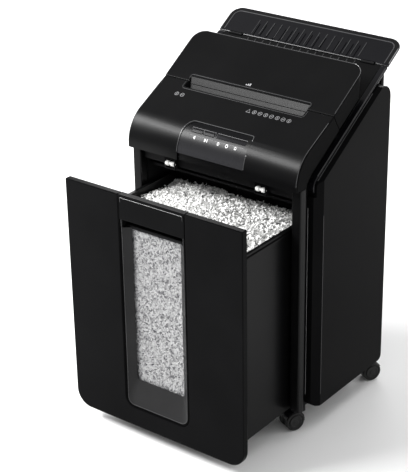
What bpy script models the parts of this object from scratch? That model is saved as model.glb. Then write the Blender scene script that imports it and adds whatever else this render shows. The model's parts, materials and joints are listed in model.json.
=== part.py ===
"""Paper shredder: pull-out bin drawer, sloping auto-feed head, four casters. Metres, +Z up."""

import math

import bmesh
import bpy
from mathutils import Matrix, Vector

# Fits
GAP = 0.0003  # between faces that meet
FIT = 0.0005  # between a moving piece and its guide
CORE_W = 0.330  # columns, head and lid
WALL = 0.0025

# Cabinet, with Y = 0 on the front of the columns
BASE_Z = 0.039
COVER_Z = 0.040
COLUMN_W = 0.017
COLUMN_D = 0.0165
PLATE_T = 0.006
REAR_Y = 0.237
REAR_COVER_D = 0.011
LIP_OUT = 0.0016  # rails and flap beyond the head, each side
COVER_OUT = 0.011  # side cover beyond the head, each side
LIP_Y = 0.033
COVER_BAND = 0.015
COVER_SEAM_Z = 0.4155
COVER_CORNER_R = 0.022

# Sloping deck: s runs up the slope from the lid seam, h is the height above the deck
SLOPE = math.radians(31.8)
SEAM_Y = 0.0876
SEAM_Z = 0.530
LID_LENGTH = 0.1072
LID_T = 0.032
LID_CORNER_R = 0.022
LID_SEAM = 0.0008
LID_NOSE_R = 0.0035
TRAY_DEPTH = 0.048
TRAY_T = 0.004
TRAY_FRONT_S = -0.075
FLAP_HINGE_S = 0.1492
FLAP_LENGTH = 0.0545
FLAP_CORNER_R = 0.017
FLAP_EDGE_R = 0.0012
RIB_COUNT = 16
RIB_PITCH = 0.0132
RIB_LENGTH = 0.025
RIB_H = 0.0012

# Nose of the head
NOSE_SLOPE = math.radians(27.0)
NOSE_R = 0.060
NOSE_Y = -0.0115
NOSE_Z = 0.438
SHELL_T = 0.005

# Manual slot
RECESS_HALF = 0.1165
RECESS_REAR_S = 0.0145
RECESS_FRONT_S = -0.0135
SLOT_HALF = 0.111
SLOT_W = 0.006
SLOT_S = -0.0095
RECESS_DEPTH = 0.009

# Control panel
PANEL_HALF = 0.064
PANEL_TOP_Z = 0.496
PANEL_BOTTOM_Z = 0.4505
PANEL_DEPTH = 0.003
PANEL_CORNER_R = 0.018
BUTTON_W = 0.021
BUTTON_Z = 0.4866
BUTTON_H = 0.005

# Drawer
DRAWER_OUT = 0.1444  # how far the drawer stands out at rest
FRONT_OUT = 0.0058  # drawer front beyond the columns, each side
FRONT_T = 0.0117
FRONT_BOTTOM = 0.0238
FRONT_TOP = 0.4322
FRONT_CORNER_R = 0.028
FRONT_CLOSED_GAP = 0.0015
CUT_HALF = 0.0646
CUT_BOTTOM = 0.0585
CUT_R = 0.017
WINDOW_HALF = 0.0475
WINDOW_BOTTOM = 0.106
WINDOW_TOP = 0.376
WINDOW_DEPTH = 0.0114
BEZEL_T = 0.0016
PANE_T = 0.0012
HANDLE_BOTTOM = 0.391
HANDLE_TOP = FRONT_TOP
HANDLE_T = FRONT_T
POCKET_TOP = 0.4150
POCKET_DEPTH = 0.033
BIN_IN = 0.0065  # bin wall inside the columns, each side
BIN_L = 0.2325
BIN_BOTTOM = 0.0415
BIN_TOP = 0.3694
RIM_H = 0.009
RIM_OUT = 0.003
HEAP_RISE = 0.021
HEAP_WALL = 0.006

# Cutters and drive
SHAFT_Y = 0.083
SHAFT_Z = 0.4455
MODULE = 0.0015
CUTTER_TEETH = 20
PINION_TEETH = 10
DISC_R = 0.0165
SPACER_R = 0.0115
SHAFT_R = 0.006
DISC_COUNT = 12
DISC_T = 0.008
DISC_PITCH = 0.018
END_PLATE_X = 0.122
END_PLATE_T = 0.003
GEAR_T = 0.007
MOTOR_R = 0.026
MOTOR_L = 0.075
FEED_R = 0.014
FEED_S = 0.031
HEAD_BASE_Z = 0.400
HEAD_BASE_T = 0.004
BEAM_BOTTOM = 0.4165
BEAM_T = 0.008
CATCH_X = 0.089
CATCH_Z = 0.421
CATCH_R = 0.0042

# Casters
WHEEL_R = 0.0165
WHEEL_HALF = 0.0135
WEB_HALF = 0.0028
CASTER_IN = 0.0175  # caster stem in from the side of the columns
CASTER_TRAIL = 0.0192
FENDER_R = 0.0182
FENDER_HALF = 0.011
FRONT_CASTER_Y = 0.037
REAR_CASTER_Y = 0.213
FRONT_CASTER_TURN = math.radians(-24.0)
REAR_CASTER_TURN = math.radians(150.0)
STEM_R = 0.003

# Rear fittings
INLET_X = -0.085
SWITCH_X = 0.085
FITTING_Z = 0.110

CORE_X = CORE_W / 2
COVER_X = CORE_X + COVER_OUT
LIP_X = CORE_X + LIP_OUT
CASTER_X = CORE_X - CASTER_IN
FRONT_W = CORE_W + 2 * FRONT_OUT
COLUMN_X = CORE_X - COLUMN_W
BIN_W = 2 * (COLUMN_X - BIN_IN)
PLATE_X = COLUMN_X + PLATE_T + FIT
FRONT_Y = -DRAWER_OUT - FRONT_CLOSED_GAP - FRONT_T
BIN_Y = FRONT_Y + FRONT_T + GAP
REAR_SHAFT_Y = SHAFT_Y + MODULE * CUTTER_TEETH
IDLER_Y = REAR_SHAFT_Y + MODULE * CUTTER_TEETH
MOTOR_Y = IDLER_Y + MODULE * (CUTTER_TEETH + PINION_TEETH) / 2


def deck(s, h):
    """(y, z) of a point s up the slope from the seam and h above the deck."""
    return (
        SEAM_Y + s * math.cos(SLOPE) - h * math.sin(SLOPE),
        SEAM_Z + s * math.sin(SLOPE) + h * math.cos(SLOPE),
    )


# The rearmost point is on the rounded lower edge of the flap
FLAP_EASE = FLAP_EDGE_R * (1 - math.sqrt(0.5))
FLAP_END_Y = deck(FLAP_HINGE_S + FLAP_LENGTH - FLAP_EASE, FLAP_EASE - TRAY_DEPTH - TRAY_T)[0]
CENTRE_Y = (FRONT_Y + FLAP_END_Y) / 2

for old in list(bpy.data.objects):
    bpy.data.objects.remove(old, do_unlink=True)

PARTS = bpy.data.collections.new("paper_shredder")
CUTTERS = bpy.data.collections.new("cutters")
for group in (PARTS, CUTTERS):
    bpy.context.scene.collection.children.link(group)
CUTTERS.hide_render = True

ROOT = bpy.data.objects.new("shredder_root", None)
ROOT.location = (0, -CENTRE_Y, 0)
PARTS.objects.link(ROOT)


def material(name, colour, roughness, metallic=0.0, alpha=1.0):
    mat = bpy.data.materials.new(name)
    mat.use_nodes = True
    shader = mat.node_tree.nodes["Principled BSDF"]
    shader.inputs["Base Color"].default_value = (*colour, 1)
    shader.inputs["Roughness"].default_value = roughness
    shader.inputs["Metallic"].default_value = metallic
    shader.inputs["Alpha"].default_value = alpha
    return mat


SHELL = material("black_shell", (0.018, 0.018, 0.020), 0.42)
GLOSS = material("gloss_black", (0.008, 0.008, 0.010), 0.12)
INNER = material("inner_black", (0.012, 0.012, 0.013), 0.60)
CLEAR = material("clear_window", (0.75, 0.78, 0.80), 0.08, alpha=0.35)
WHITE = material("white_nylon", (0.82, 0.82, 0.80), 0.35)
STEEL = material("cutter_steel", (0.42, 0.42, 0.43), 0.32, 1.0)
ZINC = material("zinc_plate", (0.55, 0.56, 0.58), 0.40, 1.0)
RUBBER = material("rubber", (0.03, 0.03, 0.032), 0.80)
PAPER = material("paper_bits", (0.86, 0.86, 0.84), 0.90)
BOARD = material("board_green", (0.03, 0.20, 0.09), 0.45)
LENS = material("indicator_lens", (0.10, 0.11, 0.13), 0.15)


def place(name, mesh, mat, origin=(0, 0, 0), parent=None):
    """A part whose mesh is in cabinet coordinates, with its origin moved to the given point."""
    mesh.transform(Matrix.Translation(-Vector(origin)))
    obj = bpy.data.objects.new(name, mesh)
    obj.location = origin
    obj.parent = parent or ROOT
    mesh.materials.append(mat)
    PARTS.objects.link(obj)
    return obj


def helper(name, mesh):
    """A cutter or other tool shape, kept out of the render."""
    obj = bpy.data.objects.new(name, mesh)
    obj.parent = ROOT
    obj.hide_render = True
    obj.display_type = "WIRE"
    CUTTERS.objects.link(obj)
    return obj


def mesh_from(bm, name):
    bmesh.ops.recalc_face_normals(bm, faces=bm.faces)
    mesh = bpy.data.meshes.new(name)
    bm.to_mesh(mesh)
    bm.free()
    return mesh


def box_mesh(name, lo, hi):
    bm = bmesh.new()
    bmesh.ops.create_cube(bm, size=1)
    size = Vector(hi) - Vector(lo)
    middle = (Vector(hi) + Vector(lo)) / 2
    bmesh.ops.transform(bm, matrix=Matrix.Translation(middle) @ Matrix.Diagonal((*size, 1)), verts=bm.verts)
    return mesh_from(bm, name)


def boxes_mesh(name, corners):
    """Several separate boxes in one mesh, for a pattern of cuts or ribs."""
    bm = bmesh.new()
    for lo, hi in corners:
        size = Vector(hi) - Vector(lo)
        middle = (Vector(hi) + Vector(lo)) / 2
        bmesh.ops.create_cube(bm, size=1, matrix=Matrix.Translation(middle) @ Matrix.Diagonal((*size, 1)))
    return mesh_from(bm, name)


# Turns a curve's own XY plane and +Z into the wanted plane and direction
ALONG_X = Matrix(((0, 0, 1, 0), (1, 0, 0, 0), (0, 1, 0, 0), (0, 0, 0, 1)))  # outline (y, z)
ALONG_Y = Matrix(((1, 0, 0, 0), (0, 0, -1, 0), (0, 1, 0, 0), (0, 0, 0, 1)))  # outline (x, z)
ALONG_Z = Matrix.Identity(4)  # outline (x, y)


def slab_mesh(name, outline, lo, hi, turn):
    """An outline filled and given the depth lo to hi along the turned +Z."""
    curve = bpy.data.curves.new(name, "CURVE")
    curve.dimensions = "2D"
    curve.fill_mode = "BOTH"
    curve.extrude = (hi - lo) / 2
    spline = curve.splines.new("POLY")
    spline.points.add(len(outline) - 1)
    for point, (u, v) in zip(spline.points, outline):
        point.co = (u, v, 0, 1)
    spline.use_cyclic_u = True
    obj = bpy.data.objects.new(name, curve)
    bpy.context.scene.collection.objects.link(obj)
    graph = bpy.context.evaluated_depsgraph_get()
    raw = bpy.data.meshes.new_from_object(obj.evaluated_get(graph))
    bm = bmesh.new()
    bm.from_mesh(raw)
    bmesh.ops.remove_doubles(bm, verts=bm.verts, dist=0.00001)
    flat = [edge for edge in bm.edges if len(edge.link_faces) == 2 and edge.calc_face_angle() < 0.001]
    bmesh.ops.dissolve_edges(bm, edges=flat, use_verts=False)
    sign = -1 if turn is ALONG_Y else 1
    shift = Matrix.Translation((0, 0, sign * (lo + hi) / 2))
    bmesh.ops.transform(bm, matrix=turn @ shift, verts=bm.verts)
    bpy.data.objects.remove(obj, do_unlink=True)
    bpy.data.curves.remove(curve)
    bpy.data.meshes.remove(raw)
    return mesh_from(bm, name)


def to_deck(mesh):
    """Moves a mesh drawn flat, with Y as s and Z as h, onto the sloping deck."""
    mesh.transform(Matrix.Translation((0, SEAM_Y, SEAM_Z)) @ Matrix.Rotation(SLOPE, 4, "X"))
    return mesh


def round_edges(mesh, radius, segments, wanted):
    """Bevels the edges whose two ends pass the test."""
    bm = bmesh.new()
    bm.from_mesh(mesh)
    edges = [edge for edge in bm.edges if wanted(*(vert.co for vert in edge.verts))]
    bmesh.ops.bevel(bm, geom=edges, offset=radius, segments=segments, profile=0.5, affect="EDGES")
    bm.to_mesh(mesh)
    bm.free()
    return mesh


def turned_mesh(name, profile, centre, axis, steps):
    """A closed turned solid: profile of (radius, distance) run top to bottom, turned about the axis."""
    mesh = bpy.data.meshes.new(name)
    points = [(radius, 0, along) for radius, along in profile]
    mesh.from_pydata(points, [(i, i + 1) for i in range(len(points) - 1)], [])
    obj = bpy.data.objects.new(name, mesh)
    bpy.context.scene.collection.objects.link(obj)
    screw = obj.modifiers.new("Screw", "SCREW")
    screw.steps = steps
    screw.render_steps = steps
    screw.use_merge_vertices = True
    screw.merge_threshold = 0.00001
    graph = bpy.context.evaluated_depsgraph_get()
    result = bpy.data.meshes.new_from_object(obj.evaluated_get(graph))
    bpy.data.objects.remove(obj, do_unlink=True)
    bpy.data.meshes.remove(mesh)
    turn = Vector((0, 0, 1)).rotation_difference(Vector(axis)).to_matrix().to_4x4()
    result.transform(Matrix.Translation(centre) @ turn)
    bm = bmesh.new()
    bm.from_mesh(result)
    bmesh.ops.remove_doubles(bm, verts=bm.verts, dist=0.00001)
    bpy.data.meshes.remove(result)
    return mesh_from(bm, name)


def rod_mesh(name, radius, lo, hi, centre, steps=16):
    """A plain rod along X from lo to hi."""
    profile = [(0, hi), (radius, hi), (radius, lo), (0, lo)]
    return turned_mesh(name, profile, (0, centre[0], centre[1]), (1, 0, 0), steps)


def boolean(obj, other, operation="DIFFERENCE"):
    modifier = obj.modifiers.new("Boolean", "BOOLEAN")
    modifier.operation = operation
    modifier.object = other
    return modifier


def bevel(obj, width, segments=2, angle=40.0):
    modifier = obj.modifiers.new("Bevel", "BEVEL")
    modifier.width = width
    modifier.segments = segments
    modifier.limit_method = "ANGLE"
    modifier.angle_limit = math.radians(angle)
    return modifier


def arc(centre, radius, start, end, count):
    """Points on an arc, angles in degrees."""
    angles = [math.radians(start + (end - start) * i / count) for i in range(count + 1)]
    return [(centre[0] + radius * math.cos(a), centre[1] + radius * math.sin(a)) for a in angles]


def sides(name):
    return ((1, name + "_right"), (-1, name + "_left"))


def span(side, inner, outer):
    """Lowest and highest X of a piece that lies between two distances from the middle plane."""
    return (inner, outer) if side > 0 else (-outer, -inner)


def fillet(before, corner, after, radius, count):
    """Points that round off a corner of an outline."""
    c = Vector(corner)
    a = (Vector(before) - c).normalized()
    b = (Vector(after) - c).normalized()
    half = a.angle(b) / 2
    middle = c + (a + b).normalized() * radius / math.sin(half)
    start = c + a * radius / math.tan(half) - middle
    end = c + b * radius / math.tan(half) - middle
    turn = math.atan2(start.x * end.y - start.y * end.x, start.dot(end))
    points = []
    for i in range(count + 1):
        angle = turn * i / count
        x = start.x * math.cos(angle) - start.y * math.sin(angle)
        y = start.x * math.sin(angle) + start.y * math.cos(angle)
        points.append((middle.x + x, middle.y + y))
    return points


# The nose's arc: it runs from upright at the front into the nose slope that ends at the seam
NOSE_CENTRE_Y = NOSE_Y + NOSE_R
NOSE_CENTRE_Z = SEAM_Z - (NOSE_R + (SEAM_Y - NOSE_CENTRE_Y) * math.sin(NOSE_SLOPE)) / math.cos(NOSE_SLOPE)


def nose_outline(inset, stop_before_seam=0.0):
    """(y, z) points up the nose, a given depth below its surface."""
    points = [(NOSE_Y + inset, NOSE_Z)]
    points += arc((NOSE_CENTRE_Y, NOSE_CENTRE_Z), NOSE_R - inset, 180, 90 + math.degrees(NOSE_SLOPE), 8)
    y = SEAM_Y - stop_before_seam * math.cos(NOSE_SLOPE) + inset * math.sin(NOSE_SLOPE)
    z = SEAM_Z - stop_before_seam * math.sin(NOSE_SLOPE) - inset * math.cos(NOSE_SLOPE)
    return points + [(y, z)]


def tray_line_at(y, depth):
    """The point at the given Y of the line that runs at one depth under the deck."""
    s = (y - SEAM_Y - depth * math.sin(SLOPE)) / math.cos(SLOPE)
    return deck(s, -depth)


def make_cabinet():
    sill_x = (BIN_W / 2 + 2 * FIT, PLATE_X)
    sill_y = COLUMN_D + FIT
    bar_y = REAR_Y - 0.002
    outline = [(-sill_x[1], sill_y), (-sill_x[0], sill_y), (-sill_x[0], bar_y), (sill_x[0], bar_y)]
    outline += [(sill_x[0], sill_y), (sill_x[1], sill_y), (sill_x[1], REAR_Y + 0.008), (-sill_x[1], REAR_Y + 0.008)]
    base = place("base_frame", slab_mesh("base_frame", outline, BASE_Z, BASE_Z + 0.017, ALONG_Z), INNER)
    for x in (-CASTER_X, CASTER_X):
        for y in (FRONT_CASTER_Y, REAR_CASTER_Y):
            hole = turned_mesh("stem_hole", rod_profile(STEM_R + GAP, BASE_Z - 0.01, BASE_Z + 0.03), (x, y, 0), (0, 0, 1), 16)
            boolean(base, helper("stem_hole", hole))

    for side, name in sides("column"):
        lo, hi = span(side, COLUMN_X, CORE_X)
        mesh = box_mesh(name, (lo, 0, BASE_Z), (hi, COLUMN_D, NOSE_Z - GAP))
        round_edges(mesh, 0.011, 5, lambda a, b: max(a.y, b.y) < 0.001 and max(a.z, b.z) < BASE_Z + 0.001)
        column = place(name, mesh, SHELL)
        bevel(column, 0.003, 3)

    for side, name in sides("side_plate"):
        top = TRAY_DEPTH + TRAY_T + GAP
        front = COLUMN_D + FIT
        outline = [(front, BASE_Z + 0.017 + GAP), (REAR_Y - GAP, BASE_Z + 0.017 + GAP)]
        outline += [tray_line_at(REAR_Y - GAP, top), tray_line_at(LIP_Y + 0.005, top), (front, 0.440)]
        place(name, slab_mesh(name, outline, *span(side, COLUMN_X + FIT, PLATE_X), ALONG_X), INNER)

    for side, name in sides("bin_rail"):
        lo, hi = span(side, BIN_W / 2 + FIT, COLUMN_X + FIT - GAP)
        top = BIN_TOP - RIM_H - FIT
        place(name, box_mesh(name, (lo, COLUMN_D + FIT, top - 0.009), (hi, REAR_Y - 0.004, top)), INNER)

    half = COLUMN_X - GAP
    beam = box_mesh("cross_beam", (-half, COLUMN_D - BEAM_T, BEAM_BOTTOM), (half, COLUMN_D, NOSE_Z - GAP))
    place("cross_beam", beam, INNER)

    for side, name in sides("side_cover"):
        make_side_cover(side, name)
    make_rear_cover()

    base_y = (COLUMN_D + 0.0075, REAR_Y - 0.0006)
    half = COLUMN_X + FIT - GAP
    plate = place("head_base", box_mesh("head_base", (-half, base_y[0], HEAD_BASE_Z), (half, base_y[1], HEAD_BASE_Z + HEAD_BASE_T)), INNER)
    outlet = box_mesh("outlet", (-0.118, 0.060, HEAD_BASE_Z - 0.01), (0.118, 0.136, HEAD_BASE_Z + 0.02))
    boolean(plate, helper("outlet", outlet))


def rod_profile(radius, lo, hi):
    return [(0, hi), (radius, hi), (radius, lo), (0, lo)]


def cover_outline(inset):
    """(y, z) outline of a side cover, a given wall inside its edge."""
    top = TRAY_DEPTH + TRAY_T + GAP + inset
    front = LIP_Y + inset
    step = LIP_Y + TRAY_T + GAP + inset
    bottom = COVER_Z + inset
    rear = REAR_Y - inset
    seam = COVER_SEAM_Z - inset
    bend = tray_line_at(step, top)
    high = tray_line_at(rear, top)
    points = [(front, seam)]
    points += fillet((front, seam), (front, bottom), (rear, bottom), 0.012 - inset, 4)
    points += fillet((front, bottom), (rear, bottom), high, 0.009 - inset, 3)
    points += fillet((rear, bottom), high, bend, COVER_CORNER_R - inset, 6)
    points += fillet(high, bend, (step, seam), 0.011 - GAP - inset, 4)
    return points + [(step, seam)]


def make_side_cover(side, name):
    cover = place(name, slab_mesh(name, cover_outline(0), *span(side, PLATE_X + GAP, COVER_X), ALONG_X), SHELL)
    far = COVER_X + 0.02
    wedge = [(LIP_X, LIP_Y), (COVER_X, LIP_Y + COVER_BAND), (far, LIP_Y + COVER_BAND), (far, 0), (LIP_X, 0)]
    wedge = [(side * x, y) for x, y in wedge]
    boolean(cover, helper(name + "_band", slab_mesh(name, wedge, 0.02, 0.65, ALONG_Z)))
    top = -TRAY_DEPTH - TRAY_T - GAP
    wedge = [(LIP_X, top), (COVER_X, top - 0.0022), (far, top - 0.0022), (far, top + 0.02), (LIP_X, top + 0.02)]
    wedge = [(side * x, h) for x, h in wedge]
    boolean(cover, helper(name + "_top_band", to_deck(slab_mesh(name, wedge, -0.2, 0.25, ALONG_Y))))
    hollow = slab_mesh(name, cover_outline(WALL), *span(side, PLATE_X - 0.01, COVER_X - WALL - 0.0005), ALONG_X)
    hollow = helper(name + "_hollow", hollow)
    run = Vector((COVER_X - LIP_X, COVER_BAND))
    start = Vector((LIP_X, LIP_Y)) + Vector((-run.y, run.x)).normalized() * (WALL + 0.0003)
    wedge = [start - run, start + 2 * run, (far + 0.02, start.y + 2 * run.y), (far + 0.02, start.y - run.y)]
    wedge = [(side * x, y) for x, y in wedge]
    boolean(hollow, helper(name + "_band_back", slab_mesh(name, wedge, 0.02, 0.65, ALONG_Z)))
    boolean(cover, hollow)


def make_rear_cover():
    half = PLATE_X + 0.0035
    lo = (-half, REAR_Y + GAP, COVER_Z)
    hi = (half, REAR_Y + REAR_COVER_D, tray_line_at(REAR_Y, TRAY_DEPTH + TRAY_T)[1] - 0.006)
    cover = place("rear_cover", box_mesh("rear_cover", lo, hi), SHELL)
    bevel(cover, 0.004, 2)
    inner_lo = (lo[0] + WALL, lo[1] - 0.01, lo[2] - 0.01)
    inner = box_mesh("rear_hollow", inner_lo, (hi[0] - WALL, hi[1] - WALL, hi[2] - WALL))
    boolean(cover, helper("rear_hollow", inner))
    vents = []
    for row in range(6):
        z = 0.30 + 0.014 * row
        vents.append(((-0.055, REAR_Y, z), (0.055, hi[1] + 0.01, z + 0.005)))
    boolean(cover, helper("rear_vents", boxes_mesh("rear_vents", vents)))
    inlet = (0.0150, 0.0125)
    rocker = (0.0110, 0.0070)
    fittings = []
    for x, half_size in ((INLET_X, inlet), (SWITCH_X, rocker)):
        w, h = half_size[0] + FIT, half_size[1] + FIT
        fittings.append(((x - w, REAR_Y, FITTING_Z - h), (x + w, hi[1] + 0.01, FITTING_Z + h)))
    boolean(cover, helper("rear_fittings", boxes_mesh("rear_fittings", fittings)))

    face = hi[1]
    w, h = inlet
    body = box_mesh("mains_inlet", (INLET_X - w, face - 0.008, FITTING_Z - h), (INLET_X + w, face + 0.0015, FITTING_Z + h))
    socket = place("mains_inlet", body, INNER)
    recess = box_mesh("inlet_recess", (INLET_X - 0.0115, face - 0.005, FITTING_Z - 0.008), (INLET_X + 0.0115, face + 0.01, FITTING_Z + 0.008))
    boolean(socket, helper("inlet_recess", recess))

    w, h = rocker
    rocker_outline = [(face + 0.0022, FITTING_Z - h + 0.0003), (face - 0.0010, FITTING_Z), (face + 0.0006, FITTING_Z + h - 0.0003)]
    rocker_outline += [(face - 0.0060, FITTING_Z + h - 0.002), (face - 0.0060, FITTING_Z - h + 0.002)]
    mesh = slab_mesh("power_switch", rocker_outline, SWITCH_X - w, SWITCH_X + w, ALONG_X)
    place("power_switch", mesh, GLOSS, (SWITCH_X, face - 0.003, FITTING_Z))


def make_tray():
    hinge = FLAP_HINGE_S
    low = -TRAY_DEPTH - TRAY_T
    top = -TRAY_DEPTH
    half = PLATE_X + 0.0001
    tray = place("feed_tray", to_deck(box_mesh("feed_tray", (-half, TRAY_FRONT_S, low), (half, hinge - 0.0007, top))), SHELL)
    slot = ((-0.112, -0.018, low - 0.01), (0.112, -0.003, top + 0.01))
    windows = [slot]
    for x in (-0.045, 0.045):
        windows.append(((x - 0.018, FEED_S - 0.0135, low - 0.01), (x + 0.018, FEED_S + 0.0135, top + 0.01)))
    for x in (-0.130, 0.130):
        windows.append(((x - 0.0135, hinge - 0.0035, low - 0.01), (x + 0.0135, hinge + 0.01, top + 0.01)))
    boolean(tray, helper("tray_cuts", to_deck(boxes_mesh("tray_cuts", windows))))

    outer = tray_line_at(LIP_Y, TRAY_DEPTH)
    inner = tray_line_at(LIP_Y + TRAY_T, TRAY_DEPTH + TRAY_T)
    foot = COVER_SEAM_Z + 0.008
    path = [deck(hinge - 0.0007, top)]
    path += fillet(deck(hinge, top), outer, (LIP_Y, foot), 0.015, 5)
    path += [(LIP_Y, foot), (LIP_Y + TRAY_T, foot)]
    path += fillet((LIP_Y + TRAY_T, foot), inner, deck(hinge, low), 0.011, 5)
    path += [deck(hinge - 0.0007, low)]
    for side, name in sides("tray_rail"):
        rail = place(name, slab_mesh(name, path, *span(side, half + GAP, LIP_X), ALONG_X), GLOSS)
        bevel(rail, 0.0012, 2)

    start = hinge + 0.0008
    end = hinge + FLAP_LENGTH
    outline = [(-LIP_X, start), (LIP_X, start)]
    outline += fillet((LIP_X, start), (LIP_X, end), (-LIP_X, end), FLAP_CORNER_R, 6)
    outline += fillet((LIP_X, end), (-LIP_X, end), (-LIP_X, start), FLAP_CORNER_R, 6)
    y, z = deck(hinge, top)
    flap = place("tray_flap", to_deck(slab_mesh("tray_flap", outline, low, top, ALONG_Z)), GLOSS, (0, y, z))
    bevel(flap, FLAP_EDGE_R, 2)
    notches = [((x - 0.0135, hinge - 0.01, low - 0.01), (x + 0.0135, hinge + 0.0036, top + 0.01)) for x in (-0.130, 0.130)]
    boolean(flap, helper("flap_notches", to_deck(boxes_mesh("flap_notches", notches))))
    ribs = []
    for i in range(RIB_COUNT):
        x = (i - (RIB_COUNT - 1) / 2) * RIB_PITCH
        ribs.append(((x - 0.0012, hinge + 0.004, top - 0.002), (x + 0.0012, hinge + 0.004 + RIB_LENGTH, top + RIB_H)))
    boolean(flap, helper("flap_ribs", to_deck(boxes_mesh("flap_ribs", ribs))), "UNION")
    for side, name in sides("flap_hinge"):
        lo, hi = span(side, 0.118, 0.142)
        place(name, rod_mesh(name, 0.0022, lo, hi, (y, z), 12), ZINC)


def make_lid():
    axis = (LID_SEAM + LID_NOSE_R, -LID_NOSE_R)
    mesh = lid_block(0, LID_SEAM, 0, LID_T, 6)
    round_edges(mesh, LID_NOSE_R, 3, lambda a, b: max(a.y, b.y) < 0.001 and min(a.z, b.z) > -0.001)
    origin = (0, *deck(*axis))
    lid = place("lid", to_deck(mesh), SHELL, origin)
    bevel(lid, 0.0015, 2, 50)
    boolean(lid, helper("lid_hollow", to_deck(lid_block(0.003, 0.022, 0.003, LID_T + 0.02, 4))))
    cuts = []
    for x in (-0.142, 0.142):
        cuts.append(((x - 0.003, -0.01, -0.05), (x + 0.003, 0.0090, -0.0010)))
    boolean(lid, helper("lid_cuts", to_deck(boxes_mesh("lid_cuts", cuts))))
    boolean(lid, helper("lid_recess", to_deck(recess_mesh())))
    for side, name in sides("lid_hinge"):
        pin = rod_profile(0.0010, 0.1375, 0.1465)
        bore = rod_profile(0.0013, 0.1372, 0.1468)
        boolean(lid, helper(name + "_bore", to_deck(turned_mesh(name, bore, (0, *axis), (side, 0, 0), 12))))
        foot = -TRAY_DEPTH + GAP
        outline = [(axis[0] + 0.0020, foot)] + arc(axis, 0.0020, 0, 180, 8) + [(axis[0] - 0.0020, foot)]
        lo, hi = span(side, 0.1402, 0.1438)
        bracket = place(name, to_deck(slab_mesh(name, outline, lo, hi, ALONG_X)), ZINC)
        pin = helper(name + "_pin", to_deck(turned_mesh(name, pin, (0, *axis), (side, 0, 0), 12)))
        boolean(bracket, pin, "UNION")

    plate = box_mesh("pressure_plate", (-0.118, 0.022 + GAP, -0.0300), (0.118, 0.078, -0.0275))
    place("pressure_plate", to_deck(plate), INNER, origin)


def lid_block(inset, front, top, bottom, segments):
    """The lid's own shape drawn flat, a given wall inside it: its rear wall is upright once on the slope."""
    lean = math.tan(SLOPE)
    rear = LID_LENGTH - inset / math.cos(SLOPE)
    outline = [(front, -top), (rear - top * lean, -top), (rear - bottom * lean, -bottom), (front, -bottom)]
    mesh = slab_mesh("lid", outline, inset - CORE_X, CORE_X - inset, ALONG_X)
    behind = rear - bottom * lean - 0.001
    wanted = lambda a, b: min(a.y, b.y) > behind and abs(a.x - b.x) < 0.001
    return round_edges(mesh, LID_CORNER_R - inset, segments, wanted)


def recess_mesh():
    """The chamfered trough round the manual slot, drawn flat."""
    high = 0.002
    mesh = box_mesh("recess", (-RECESS_HALF, RECESS_FRONT_S, -RECESS_DEPTH), (RECESS_HALF, RECESS_REAR_S, high))
    for vert in mesh.vertices:
        if vert.co.z < 0:
            vert.co.x = math.copysign(SLOT_HALF, vert.co.x)
            vert.co.y = SLOT_S + math.copysign(SLOT_W / 2, vert.co.y)
    return mesh


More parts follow.
